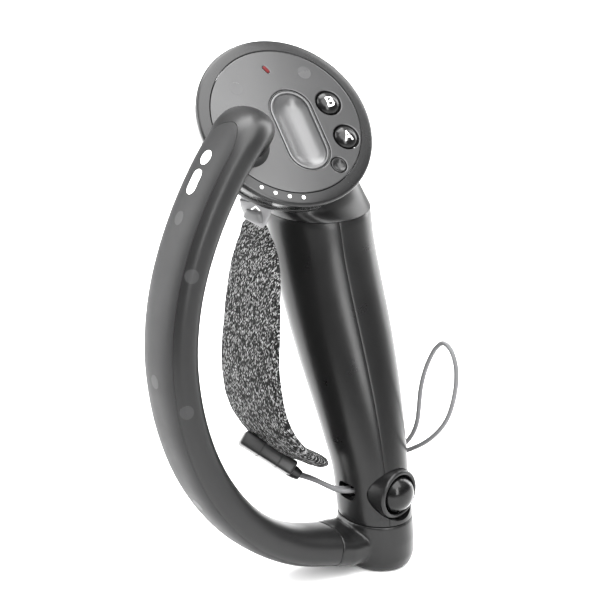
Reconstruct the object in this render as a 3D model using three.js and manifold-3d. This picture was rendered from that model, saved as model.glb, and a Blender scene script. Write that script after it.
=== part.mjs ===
// Hand-held VR motion controller for the left hand: a round control face on a leaning grip, a tracking
// ring outside the hand, a padded strap with a drawcord and its push lock.
// Millimetres. +Z up, -Y towards the user, -X towards the ring. The origin is the centre of the flat
// dock face under the pommel.
import * as THREE from 'three';
import { mergeVertices } from 'three/addons/utils/BufferGeometryUtils.js';
import Module from 'manifold-3d';

const wasm = await Module();
wasm.setup();

// ---- Driving dimensions -------------------------------------------------------------------------

const GAP = 0.3;                    // clearance between neighbouring pieces
const WALL = 2;                     // wall of the moulded shells
const HEAD_WALL = 1.6;
const degrees = THREE.MathUtils.degToRad;

// Control face, in its own flat frame: x right, y up the plate, z out of it
const FACE_CENTRE = new THREE.Vector3(-13.5, 35, 146);
const FACE_TILT = degrees(44.4);
const FACE_RADIUS = 30.75;
const RIM_WIDTH = 4.4;
const RIM_DEPTH = 6;
const RIM_TAPER = 1.35;
const PLATE_RADIUS = FACE_RADIUS - RIM_WIDTH - GAP;
const PLATE_THICKNESS = 2.4;
const TRACKPAD = { x: 3.4, y: -3.9, width: 14.6, length: 29, dish: 2.8, thickness: 4.4 };
const TRIM_WIDTH = 0.6;
const BUTTON_RADIUS = 4.2;
const BUTTON_A = { x: 18.6, y: -9.6 };
const BUTTON_B = { x: 17.6, y: 3.5 };
const SYSTEM_BUTTON = { x: 11.6, y: -18.8, radius: 2.6 };
const LED = { x: 0.8, y: 19.4, length: 2.8, width: 1.2, turn: degrees(25) };
const FACE_WINDOWS = [{ x: 13.8, y: 15.8 }, { x: -12.6, y: 14.8 }];
const WINDOW_RADIUS = 2.3;
const DOT_RADIUS = 0.65;
const DOT_CIRCLE = 27.8;
const FIRST_POSITION = degrees(-131.5);
const POSITION_STEP = degrees(10);
const BOARD = { top: -7.6, thickness: 1.2, radius: 22 };

// Strap slider, on a curved rail under the rim
const SLIDER = { inner: 26, outer: 28.2, top: -6.5, bottom: -12.4, halfAngle: degrees(10.5) };
const SLIDER_REST = degrees(-128);

// Grip: level ovals up its leaning centre line
const GRIP_SECTIONS = [
  { z: 17.1, y: 1.3, a: 11.9, b: 14.1 },
  { z: 31, y: 4.4, a: 11.9, b: 14.4 },
  { z: 40, y: 7.6, a: 12.8, b: 15.5 },
  { z: 54, y: 13.3, a: 14.4, b: 17 },
  { z: 67, y: 19.2, a: 15.8, b: 18 },
  { z: 80, y: 25.2, a: 16.7, b: 18.4 },
  { z: 92, y: 30.6, a: 17, b: 18.5 },
  { z: 103, y: 35, a: 17.1, b: 18.7 },
  { z: 113.7, y: 38.3, a: 17.5, b: 19 },
];
const SEAM_X = -3;
const HOOK_HOLE = { y: 1.2, z: 27, width: 8, height: 5.4 };

// Pommel, below the grip
const POMMEL_SECTIONS = [
  { z: 0, y: 0.5, a: 9.5, b: 11.5 },
  { z: 1.2, y: 0.5, a: 11, b: 13 },
  { z: 4, y: 0.5, a: 12, b: 14 },
  { z: 10, y: 0.8, a: 12.2, b: 14.4 },
  { z: 16.8, y: 1.3, a: 11.9, b: 14.1 },
];
const USB = { y: -6, width: 8.94, height: 3.26, depth: 7.3, wall: 0.3 };
const CONTACT = { x: 5.5, y: 1.5, radius: 1.6, depth: 1 };
const SCREW = { y: 8, radius: 1.9, depth: 1.6 };

// Cord lock, near the foot of the grip
const LOCK_CENTRE = new THREE.Vector3(1.5, -10.6, 27);
const LOCK_TURN = degrees(14);
const LOCK = {
  bezelOuter: 8.4, bezelInner: 6.7, bezelFoot: -6.2, buttonRadius: 6.3, dome: 4, travel: 2.5,
};
const CORD_RADIUS = 0.8;
const LOOP_HOLE = { y: 3, z: 35.6, radius: 3 };

// Tracking ring: a leaning flat loop, from the pommel's arm up to the domed root on the face
const RING_LEAN = 0.127;
const RING_SPLIT = degrees(50);     // half the angle that the outer cover takes round the section
const RING_PATH = [
  { x: -20, z: 9.6 }, { x: -33, z: 13 }, { x: -46, z: 20.6 }, { x: -56, z: 30.8 }, { x: -64.6, z: 45.5 },
  { x: -69.9, z: 63.5 }, { x: -71.4, z: 82 }, { x: -70, z: 95 }, { x: -66.8, z: 107.5 },
  { x: -61.4, z: 120.5 }, { x: -55, z: 132 }, { x: -47, z: 143.4 }, { x: -43.2, z: 147.6 },
];
const RING_SIDES = 20;
const RING_HALF_WIDTH = 11.3;
const RING_HALF_THICKNESS = 6.4;

// Strap
const STRAP_SECTIONS = [
  { x: -28.6, y: 30.2, z: 117, width: 12, thickness: 2 },
  { x: -28.3, y: 30.5, z: 113.4, width: 16, thickness: 2.6 },
  { x: -27.8, y: 30.6, z: 109.6, width: 21, thickness: 3.4 },
  { x: -28.6, y: 29.2, z: 105.5, width: 26, thickness: 4.6 },
  { x: -31.6, y: 25.5, z: 98, width: 31, thickness: 5 },
  { x: -35.2, y: 21.8, z: 84, width: 34, thickness: 5 },
  { x: -37.2, y: 19, z: 69, width: 36, thickness: 5 },
  { x: -35.4, y: 16.4, z: 54, width: 36, thickness: 5 },
  { x: -28.5, y: 13.2, z: 43.2, width: 30, thickness: 5 },
  { x: -18, y: 7.5, z: 36.8, width: 15, thickness: 4.5 },
];

// ---- Geometry helpers ---------------------------------------------------------------------------

const group = new THREE.Group();
const face = new THREE.Group();
face.position.copy(FACE_CENTRE);
face.rotation.x = FACE_TILT;
group.add(face);

const MATERIALS = {
  shell: { color: 0x2e2f31, roughness: 0.55, metalness: 0 },
  face: { color: 0x6f7072, roughness: 0.5, metalness: 0 },
  rim: { color: 0x505153, roughness: 0.45, metalness: 0 },
  gloss: { color: 0x0c0c0d, roughness: 0.12, metalness: 0 },
  window: { color: 0x58595b, roughness: 0.4, metalness: 0 },
  white: { color: 0xe6e6e6, roughness: 0.5, metalness: 0 },
  led: { color: 0xc01818, roughness: 0.3, metalness: 0 },
  fabric: { color: 0x55565a, roughness: 0.95, metalness: 0 },
  cord: { color: 0x8c8c8c, roughness: 0.7, metalness: 0 },
  steel: { color: 0xa8a8ab, roughness: 0.3, metalness: 1 },
  gold: { color: 0xc9a24a, roughness: 0.3, metalness: 1 },
  board: { color: 0x1d4a2c, roughness: 0.5, metalness: 0 },
  cell: { color: 0x35506e, roughness: 0.5, metalness: 0 },
};

// Adds one named sub-part to a group
function part(name, geometry, material, parent = group) {
  const mesh = new THREE.Mesh(geometry, new THREE.MeshStandardMaterial(MATERIALS[material]));
  mesh.name = name;
  parent.add(mesh);
  return mesh;
}

// A geometry with shared corners, which booleans need
function welded(geometry) {
  const bare = geometry.clone();
  bare.deleteAttribute('normal');
  bare.deleteAttribute('uv');
  return mergeVertices(bare, 1e-4);
}

function solidOf(geometry) {
  const shared = welded(geometry);
  const mesh = new wasm.Mesh({
    numProp: 3,
    vertProperties: new Float32Array(shared.attributes.position.array),
    triVerts: new Uint32Array(shared.index.array),
  });
  return new wasm.Manifold(mesh);
}

function geometryOf(solid) {
  const mesh = solid.getMesh();
  const geometry = new THREE.BufferGeometry();
  geometry.setAttribute('position', new THREE.BufferAttribute(new Float32Array(mesh.vertProperties), 3));
  geometry.setIndex(new THREE.BufferAttribute(new Uint32Array(mesh.triVerts), 1));
  geometry.computeVertexNormals();
  return geometry;
}

function cut(geometry, ...tools) {
  return geometryOf(tools.reduce((solid, tool) => solid.subtract(solidOf(tool)), solidOf(geometry)));
}

function join(first, ...others) {
  return geometryOf(others.reduce((solid, other) => solid.add(solidOf(other)), solidOf(first)));
}

// Turns a closed surface the right way out, by the sign of its volume
function facingOut(geometry) {
  const index = Array.from(geometry.index.array);
  const corner = (i) => new THREE.Vector3().fromBufferAttribute(geometry.attributes.position, index[i]);
  let volume = 0;
  for (let i = 0; i < index.length; i += 3) volume += corner(i).dot(corner(i + 1).cross(corner(i + 2)));
  if (volume < 0) geometry.setIndex(index.reverse());
  geometry.computeVertexNormals();
  return geometry;
}

// Closed body through a row of outlines, each with the same number of points; flat ends
function loft(outlines) {
  const count = outlines[0].length;
  const positions = outlines.flat().map((p) => [p.x, p.y, p.z]);
  const index = [];
  for (let k = 0; k + 1 < outlines.length; k += 1) {
    for (let i = 0; i < count; i += 1) {
      const a = k * count + i;
      const b = k * count + (i + 1) % count;
      index.push(a, b, a + count, b, b + count, a + count);
    }
  }
  index.push(...endCap(outlines[0], 0, true));
  index.push(...endCap(outlines.at(-1), (outlines.length - 1) * count, false));
  const geometry = new THREE.BufferGeometry();
  geometry.setAttribute('position', new THREE.Float32BufferAttribute(positions.flat(), 3));
  geometry.setIndex(index);
  return facingOut(geometry);
}

// Triangles across an end outline, wound to match the sides of the loft
function endCap(outline, offset, first) {
  const normal = new THREE.Vector3();
  outline.forEach((p, i) => {
    const q = outline[(i + 1) % outline.length];
    normal.add(new THREE.Vector3().crossVectors(p, q));
  });
  normal.normalize();
  const side = new THREE.Vector3().subVectors(outline[1], outline[0]).normalize();
  const up = new THREE.Vector3().crossVectors(normal, side);
  const flat = outline.map((p) => new THREE.Vector2(p.dot(side), p.dot(up)));
  const triangles = THREE.ShapeUtils.triangulateShape(flat, []);
  return triangles.flatMap(([a, b, c]) => (first ? [a, c, b] : [a, b, c])).map((i) => i + offset);
}

// Oval or rounded-box outline, from angle `from` to `to`; power 2 is an ellipse, more is squarer
function superellipse(halfX, halfY, power, from, to, count) {
  return Array.from({ length: count }, (_, i) => {
    const angle = from + (to - from) * i / (count - 1);
    const bend = (value) => Math.sign(value) * Math.abs(value) ** (2 / power);
    return new THREE.Vector2(halfX * bend(Math.cos(angle)), halfY * bend(Math.sin(angle)));
  });
}

function fullOval(halfX, halfY, count, power = 2) {
  const step = 2 * Math.PI / count;
  return superellipse(halfX, halfY, power, 0, 2 * Math.PI - step, count);
}

function cylinder(radius, bottom, top, sides = 18) {
  const geometry = new THREE.CylinderGeometry(radius, radius, top - bottom, sides);
  geometry.rotateX(Math.PI / 2);
  geometry.translate(0, 0, (top + bottom) / 2);
  return geometry;
}

function block(width, depth, height, x, y, z) {
  return new THREE.BoxGeometry(width, depth, height).translate(x, y, z);
}

// Solid of revolution about +Z from [radius, height] pairs
function lathe(profile, sides) {
  const points = profile.map(([radius, height]) => new THREE.Vector2(radius, height));
  return facingOut(new THREE.LatheGeometry(points, sides).rotateX(Math.PI / 2));
}

// Flat outline pushed from z = bottom to z = top
function slab(outline, bottom, top, holes = []) {
  const shape = new THREE.Shape(outline);
  shape.holes = holes.map((points) => new THREE.Path(points));
  const options = { depth: top - bottom, bevelEnabled: false };
  return new THREE.ExtrudeGeometry(shape, options).translate(0, 0, bottom);
}

// Points of a circle
function circle(x, y, radius, count = 18) {
  return fullOval(radius, radius, count).map((p) => new THREE.Vector2(p.x + x, p.y + y));
}

// Points of an upright slot with round ends; `turn` lays it over
function slot(x, y, width, length, turn = 0, endPoints = 9) {
  const r = width / 2;
  const reach = length / 2 - r;
  const arc = superellipse(r, r, 2, 0, Math.PI, endPoints);
  const upper = arc.map((p) => new THREE.Vector2(p.x, p.y + reach));
  const lower = upper.map((p) => new THREE.Vector2(-p.x, -p.y));
  return [...upper, ...lower].map((p) => {
    return p.rotateAround(new THREE.Vector2(), turn).add(new THREE.Vector2(x, y));
  });
}

function ledSlot(grow) {
  return slot(LED.x, LED.y, LED.width + grow, LED.length + grow, LED.turn, 6);
}

// Cord or wire of round section along a smooth curve
function wire(points, radius, steps, sides = 8) {
  const path = new THREE.CatmullRomCurve3(points, false, 'centripetal');
  const section = new THREE.Shape(fullOval(radius, radius, sides));
  return new THREE.ExtrudeGeometry(section, { steps, extrudePath: path, bevelEnabled: false });
}

// Points of an arc strip between two radii and two angles
function arcStrip(inner, outer, from, to, count) {
  const far = superellipse(outer, outer, 2, from, to, count);
  const near = superellipse(inner, inner, 2, to, from, count);
  return [...far, ...near];
}

// A point of the control face in the part's frame
function onFace(x, y, z) {
  face.updateMatrixWorld();
  return face.localToWorld(new THREE.Vector3(x, y, z));
}

// ---- Control face -------------------------------------------------------------------------------

function buildFacePlate() {
  const trimmed = 2 * (TRIM_WIDTH + GAP);
  const { x, y, width, length } = TRACKPAD;
  const round = (place, radius) => circle(place.x, place.y, radius + GAP);
  const holes = [
    slot(x, y, width + trimmed, length + trimmed),
    round(BUTTON_A, BUTTON_RADIUS),
    round(BUTTON_B, BUTTON_RADIUS),
    round(SYSTEM_BUTTON, SYSTEM_BUTTON.radius),
    ...FACE_WINDOWS.map((place) => round(place, WINDOW_RADIUS)),
    round(ROOT_FOOT, ROOT_FOOT.spigot),
    ledSlot(2 * GAP),
  ];
  const outline = circle(0, 0, PLATE_RADIUS, 56);
  part('face_plate', slab(outline, -PLATE_THICKNESS, 0, holes), 'face', face);
}

function buildFaceRim() {
  const inner = PLATE_RADIUS + GAP;
  const profile = [
    [inner, 0], [29.9, -0.4], [FACE_RADIUS, -1.3], [FACE_RADIUS - RIM_TAPER, -RIM_DEPTH],
    [inner, -RIM_DEPTH], [inner, 0],
  ];
  const pockets = [];
  for (let i = 0; i < 4; i += 1) {
    const angle = FIRST_POSITION + i * POSITION_STEP;
    const x = DOT_CIRCLE * Math.cos(angle);
    const y = DOT_CIRCLE * Math.sin(angle);
    const dot = cylinder(DOT_RADIUS, -1.8, -0.25, 8).translate(x, y, 0);
    part(`position_dot_${i + 1}`, dot, 'white', face);
    pockets.push(cylinder(DOT_RADIUS + 0.15, -2.1, 1, 8).translate(x, y, 0));
  }
  part('face_rim', cut(lathe(profile, 56), ...pockets), 'rim', face);
}

function buildFaceDetails() {
  part('status_led', slab(ledSlot(0), -4, 0.1), 'led', face);
  FACE_WINDOWS.forEach((place, i) => {
    const disc = cylinder(WINDOW_RADIUS, -PLATE_THICKNESS, 0).translate(place.x, place.y, 0);
    part(`face_window_${i + 1}`, disc, 'window', face);
  });
}

// Concave pad: level ovals that sink from its edge to the middle
function buildTrackpad() {
  const { x, y, width, length, dish, thickness } = TRACKPAD;
  const ring = (scale, z) => {
    const outline = slot(x, y, width * scale, length - width * (1 - scale));
    return outline.map((p) => new THREE.Vector3(p.x, p.y, z));
  };
  const outlines = [ring(1, -thickness), ring(1, -0.5)];
  for (let i = 1; i <= 5; i += 1) {
    const across = 1 - i * 0.19;
    outlines.push(ring(across, -0.5 - dish * (1 - across ** 2)));
  }
  part('trackpad', loft(outlines), 'face', face);
  const outer = 2 * TRIM_WIDTH + GAP;
  const trim = slot(x, y, width + outer, length + outer);
  const opening = slot(x, y, width + 2 * GAP, length + 2 * GAP);
  part('trackpad_trim', slab(trim, -PLATE_THICKNESS, 0.1, [opening]), 'gloss', face);
  part('force_sensor', block(9, 20, 1, x, y, -thickness - 1), 'gold', face);
}

function switchOnBoard(radius) {
  return cylinder(radius, BOARD.top + GAP, BOARD.top + GAP + 1.4, 10);
}

// Domed push button with a stem, and the switch on the board under it
function buildButtons() {
  const profile = [
    [0, 1.7], [1.8, 1.5], [3.2, 0.9], [BUTTON_RADIUS, -0.3], [BUTTON_RADIUS, -2.2],
    [BUTTON_RADIUS - 1.8, -2.2], [BUTTON_RADIUS - 1.8, -4.6], [0, -4.6],
  ];
  const places = { a: BUTTON_A, b: BUTTON_B };
  Object.entries(places).forEach(([letter, { x, y }]) => {
    part(`button_${letter}`, lathe(profile, 20).translate(x, y, 0), 'gloss', face);
    part(`switch_${letter}`, switchOnBoard(1.9).translate(x, y, 0), 'steel', face);
  });
  const { x, y, radius } = SYSTEM_BUTTON;
  const dimple = [
    [0, -0.7], [1.4, -0.5], [radius - 0.4, 0.1], [radius, -0.1], [radius, -2.2], [1.2, -2.2], [1.2, -4.6],
    [0, -4.6],
  ];
  part('system_button', lathe(dimple, 16).translate(x, y, 0), 'rim', face);
  part('switch_system', switchOnBoard(1.2).translate(x, y, 0), 'steel', face);
  part('main_board', cylinder(BOARD.radius, BOARD.top - BOARD.thickness, BOARD.top, 32), 'board', face);
}

// ---- Head housing and trigger -------------------------------------------------------------------

// Stations of the housing in the face's frame: f and b are the near and far points [y, z] of each oval,
// x is its centre and a its half width
const HEAD_STATIONS = [
  { f: [-25.4, -4], b: [25.4, -4], x: 0, a: 25.4 },
  { f: [-25.3, -6.6], b: [25.2, -7.5], x: 0.3, a: 25.2 },
  { f: [-25, -9.6], b: [23.6, -14.5], x: 1.8, a: 24 },
  { f: [-25.3, -11.6], b: [18.5, -22], x: 5, a: 22 },
  { f: [-28.4, -12.6], b: [9.5, -29.5], x: 9.4, a: 19.6 },
];

function headOval({ f, b, x, a }, inset, count) {
  const near = onFace(x, ...f);
  const far = onFace(x, ...b);
  const centre = near.clone().add(far).divideScalar(2);
  const half = far.clone().sub(near).divideScalar(2);
  const length = half.length();
  half.normalize();
  return fullOval(a - inset, length - inset, count).map((p) => {
    return centre.clone().addScaledVector(half, p.y).add(new THREE.Vector3(p.x, 0, 0));
  });
}

function gripOval({ z, y, a, b }, inset, count) {
  return fullOval(a - inset, b - inset, count).map((p) => new THREE.Vector3(p.x, p.y + y, z));
}

function buildHeadShell() {
  const count = 30;
  const top = GRIP_SECTIONS.at(-1);
  const foot = { ...top, z: top.z + GAP };
  const layer = (inset) => [
    ...HEAD_STATIONS.map((station) => headOval(station, inset, count)),
    gripOval(foot, inset, count),
  ];
  const openings = [block(NECK.width + 1.4, 14, 15, TRIGGER_X, 65, PIVOT.z + 1)];
  const inner = layer(HEAD_WALL);
  const reach = new THREE.Vector3(0, -0.7, 0.714).multiplyScalar(3);
  inner[0] = inner[0].map((p) => p.clone().add(reach));
  inner.push(inner.at(-1).map((p) => new THREE.Vector3(p.x, p.y - 0.3, p.z - 3)));
  part('head_shell', cut(loft(layer(0)), loft(inner), ...openings), 'shell');
}

const PIVOT = { y: 54.5, z: 143 };
const TRIGGER_X = -7;
const NECK = { width: 7, radius: 3.4 };
const TRIGGER_WIDTH = 15;
const PIN_RADIUS = 1.2;

// Puts a shape drawn in the Y-Z plane into place, centred on the trigger's middle
function acrossTrigger(shape, width, centre = TRIGGER_X) {
  const options = { depth: width, bevelEnabled: false, curveSegments: 8 };
  const geometry = new THREE.ExtrudeGeometry(shape, options);
  geometry.translate(0, 0, -width / 2);
  geometry.rotateY(Math.PI / 2).rotateX(Math.PI / 2);
  return geometry.translate(centre, 0, 0);
}

function alongX(radius, from, to, sides = 16) {
  const bar = new THREE.CylinderGeometry(radius, radius, to - from, sides).rotateZ(Math.PI / 2);
  return bar.translate((from + to) / 2, PIVOT.y, PIVOT.z);
}

function buildTrigger() {
  const lever = new THREE.Shape();
  lever.moveTo(PIVOT.y, PIVOT.z + NECK.radius);
  lever.bezierCurveTo(58, 148.5, 61, 149.5, 65, 148.5);
  lever.lineTo(66, 141.5);
  lever.bezierCurveTo(62.5, 141, 59, 140, PIVOT.y, PIVOT.z - NECK.radius);
  lever.absarc(PIVOT.y, PIVOT.z, NECK.radius, -Math.PI / 2, Math.PI / 2, true);
  const paddle = new THREE.Shape();
  paddle.moveTo(63.4, 152);
  paddle.bezierCurveTo(69.5, 151, 72.5, 144, 72.3, 138);
  paddle.bezierCurveTo(72.3, 132, 74, 127, 76.4, 123.4);
  paddle.bezierCurveTo(76, 121.2, 73.4, 120.8, 71.8, 122.4);
  paddle.bezierCurveTo(67.6, 128, 66.4, 133, 65.8, 139);
  paddle.bezierCurveTo(65, 144, 63.6, 148, 63.4, 152);
  const body = join(acrossTrigger(lever, NECK.width), acrossTrigger(paddle, TRIGGER_WIDTH));
  const half = NECK.width / 2;
  const bore = alongX(PIN_RADIUS + 0.08, TRIGGER_X - half - 1, TRIGGER_X + half + 1);
  part('trigger', cut(body, bore), 'shell');
  part('trigger_pin', alongX(PIN_RADIUS, TRIGGER_X - 6.6, TRIGGER_X + 9.4), 'steel');

  const ear = (x) => block(2, 7.6, 6, x, PIVOT.y - 0.8, PIVOT.z - 0.6);
  const bridge = block(15.6, 2, 5, TRIGGER_X + 1.8, PIVOT.y - 5.4, PIVOT.z - 1.4);
  const frame = join(ear(TRIGGER_X - 5), ear(TRIGGER_X + 8.6), bridge);
  const holes = alongX(PIN_RADIUS + 0.08, TRIGGER_X - 12, TRIGGER_X + 14);
  part('trigger_frame', cut(frame, holes), 'gloss');

  const turns = 3;
  const coil = Array.from({ length: turns * 7 + 1 }, (_, i) => {
    const angle = i * 2 * Math.PI / 7;
    const x = TRIGGER_X + half + 0.6 + 2.8 * i / (turns * 7);
    return new THREE.Vector3(x, PIVOT.y + 2.1 * Math.cos(angle), PIVOT.z + 2.1 * Math.sin(angle));
  });
  part('trigger_spring', wire(coil, 0.25, turns * 7, 5), 'steel');
}

// ---- Strap slider -------------------------------------------------------------------------------

function buildSlider() {
  const rail = arcStrip(SLIDER.outer + GAP, FACE_RADIUS - RIM_TAPER, degrees(-142), degrees(-84), 24);
  part('slider_rail', slab(rail, -RIM_DEPTH - 2.2, -RIM_DEPTH - GAP), 'rim', face);
  const { inner, outer, top, bottom, halfAngle } = SLIDER;
  const body = arcStrip(inner, outer, SLIDER_REST - halfAngle, SLIDER_REST + halfAngle, 8);
  part('strap_slider', slab(body, bottom, top), 'rim', face);
  const arrow = new THREE.Shape([
    new THREE.Vector2(-1.5, -0.9), new THREE.Vector2(0, 0.9), new THREE.Vector2(1.5, -0.9),
    new THREE.Vector2(0.9, -0.9), new THREE.Vector2(0, 0.2), new THREE.Vector2(-0.9, -0.9),
  ]);
  const mark = new THREE.ExtrudeGeometry(arrow, { depth: 0.3, bevelEnabled: false });
  mark.rotateX(Math.PI / 2).rotateZ(SLIDER_REST + Math.PI / 2);
  const reach = outer + GAP;
  mark.translate(reach * Math.cos(SLIDER_REST), reach * Math.sin(SLIDER_REST), -10.2);
  part('slider_arrow', mark, 'white', face);
}

// ---- Strap --------------------------------------------------------------------------------------

const STRAP_ACROSS = new THREE.Vector3(0, 0.985, -0.17).normalize();

// Rounded band outline across the strap at one station; `along` is the strap's run there
function bandOutline(centre, along, width, thickness, count) {
  const out = new THREE.Vector3().crossVectors(along, STRAP_ACROSS).normalize();
  return fullOval(width / 2, thickness / 2, count, 3.2).map((p) => {
    return centre.clone().addScaledVector(STRAP_ACROSS, p.x).addScaledVector(out, p.y);
  });
}

function bandLoft(stations, count, steps) {
  const centres = stations.map(({ x, y, z }) => new THREE.Vector3(x, y, z));
  const path = new THREE.CatmullRomCurve3(centres, false, 'centripetal');
  const sizes = stations.map(({ width, thickness }) => new THREE.Vector3(width, thickness, 0));
  const sizePath = new THREE.CatmullRomCurve3(sizes, false, 'centripetal');
  const outlines = [];
  for (let i = 0; i <= steps; i += 1) {
    const u = i / steps;
    const size = sizePath.getPoint(u);
    outlines.push(bandOutline(path.getPoint(u), path.getTangent(u), size.x, size.y, count));
  }
  return loft(outlines);
}

function buildStrap() {
  part('strap_pad', bandLoft(STRAP_SECTIONS, 16, 14), 'fabric');
  part('strap_web', loft(webOutlines(4)), 'rim');
}

// `gap` and `shift` place the band's foot over the pad's top end
const WEB = {
  topWidth: 9.6, footWidth: 8.6, thickness: 1.5, gap: 3,
  shift: new THREE.Vector3(-1, -1.6, 0),
};

// Bare band from the slider's foot to the top of the pad: it widens and turns a quarter on its way
function webOutlines(steps) {
  const radius = (SLIDER.inner + SLIDER.outer) / 2;
  const cos = Math.cos(SLIDER_REST);
  const sin = Math.sin(SLIDER_REST);
  const upper = fullOval(WEB.topWidth / 2, WEB.thickness / 2, 12, 3.2).map((p) => {
    const x = (radius - p.y) * cos + p.x * sin;
    const y = (radius - p.y) * sin - p.x * cos;
    return onFace(x, y, SLIDER.bottom - GAP);
  });
  const [first, second] = STRAP_SECTIONS.map(({ x, y, z }) => new THREE.Vector3(x, y, z));
  const along = first.clone().sub(second).normalize();
  const foot = first.clone().addScaledVector(along, WEB.gap).add(WEB.shift);
  const lower = bandOutline(foot, along.negate(), WEB.footWidth, WEB.thickness, 12);
  const outline = (t) => upper.map((p, i) => p.clone().lerp(lower[i], t));
  return Array.from({ length: steps + 1 }, (_, k) => outline(k / steps));
}

const GUIDE_ROUTE = [new THREE.Vector3(-37.2, 25.6, 42.6), new THREE.Vector3(-24.4, 14.2, 32.2)];

// Hard block on the outer, lower face of the strap's tail
function buildCordGuide() {
  const [start, end] = GUIDE_ROUTE;
  const along = end.clone().sub(start).normalize();
  const outlines = [0, 1].map((u) => bandOutline(start.clone().lerp(end, u), along, 9, 4.2, 16));
  part('cord_guide', loft(outlines), 'gloss');
}

function buildCords() {
  const [, mouth] = GUIDE_ROUTE;
  const inside = new THREE.Vector3(-9.2, HOOK_HOLE.y - 0.4, HOOK_HOLE.z);
  for (const side of [-1, 1]) {
    const shift = new THREE.Vector3(0, 1.3 * side, 0);
    const points = [
      mouth.clone().add(new THREE.Vector3(1, -0.5, -0.7)),
      new THREE.Vector3(-19.5, 9.4, 30),
      new THREE.Vector3(-14, 3, 27.4),
      inside,
    ].map((p) => p.clone().add(shift));
    part(`drawcord_strand_${side < 0 ? 1 : 2}`, wire(points, CORD_RADIUS, 9), 'cord');
  }
  part('drawcord_loop', wire(LOOP_ROUTE, CORD_RADIUS, 44), 'cord');
}

// Free loop of the drawcord, out of the grip's right side and back into it
const LOOP_ROUTE = [
  [9.4, 4, 35.9], [12.4, 3.6, 36.6], [15, 2.4, 40], [16.2, 1.2, 44.6], [16.4, 0.4, 50], [16.4, -0.4, 57],
  [16.4, -2.2, 63.5], [16.4, -5.2, 70], [16.4, -9.4, 76], [16.4, -13.2, 78.6], [16.4, -17, 77.8],
  [16.4, -19.8, 74], [16.4, -20.6, 68.5], [16.4, -19.2, 60.5], [16.4, -15.8, 52.5], [15.8, -10.6, 45.5],
  [14.6, -4.6, 39.8], [12.4, 1, 35.8], [9.4, 2.1, 35.1],
].map((p) => new THREE.Vector3(...p));

// ---- Grip and pommel ----------------------------------------------------------------------------

// Level oval between the listed sections
function sectionAt(z) {
  const upper = Math.max(1, GRIP_SECTIONS.findIndex((section) => section.z >= z));
  const low = GRIP_SECTIONS[upper - 1];
  const high = GRIP_SECTIONS[upper];
  const mix = (key) => THREE.MathUtils.mapLinear(z, low.z, high.z, low[key], high[key]);
  return { z, y: mix('y'), a: mix('a'), b: mix('b') };
}

function lockTool(radius, from, to, sides = 24) {
  const tool = cylinder(radius, from, to, sides).rotateX(Math.PI / 2).rotateZ(LOCK_TURN);
  return tool.translate(LOCK_CENTRE.x, LOCK_CENTRE.y, LOCK_CENTRE.z);
}

function buildGrip() {
  const outer = loft(GRIP_SECTIONS.map((section) => gripOval(section, 0, 30)));
  const hollow = GRIP_SECTIONS.map((section) => gripOval(section, WALL, 30));
  const lowest = gripOval({ ...GRIP_SECTIONS[0], z: GRIP_SECTIONS[0].z - 1 }, WALL, 30);
  const highest = gripOval({ ...GRIP_SECTIONS.at(-1), z: GRIP_SECTIONS.at(-1).z + 1 }, WALL, 30);
  const cordHole = block(12, HOOK_HOLE.width, HOOK_HOLE.height, -11, HOOK_HOLE.y, HOOK_HOLE.z);
  const loopHole = new THREE.CylinderGeometry(LOOP_HOLE.radius, LOOP_HOLE.radius, 10, 16);
  loopHole.rotateZ(Math.PI / 2).translate(12, LOOP_HOLE.y, LOOP_HOLE.z);
  const tools = [
    loft([lowest, ...hollow, highest]), cordHole, loopHole,
    lockTool(LOCK.bezelOuter + GAP, -8, 12),
  ];
  const half = (side) => {
    const width = 60;
    const middle = SEAM_X + side * (width - GAP) / 2;
    return block(width, 120, 200, middle, 20, 60);
  };
  part('grip_shell_left', cut(outer, ...tools, half(1)), 'shell');
  part('grip_shell_right', cut(outer, ...tools, half(-1)), 'shell');
}

function buildGripInside() {
  const lean = Math.atan2(12, 26);
  const cell = new THREE.BoxGeometry(17, 12, 46).rotateX(-lean).translate(0, 20.6, 70);
  part('battery', cell, 'cell');
  const { y } = sectionAt(104);
  const motor = new THREE.CylinderGeometry(6, 6, 14, 18).rotateZ(Math.PI / 2);
  part('haptic_motor', motor.translate(0, y, 104), 'steel');
}

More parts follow.
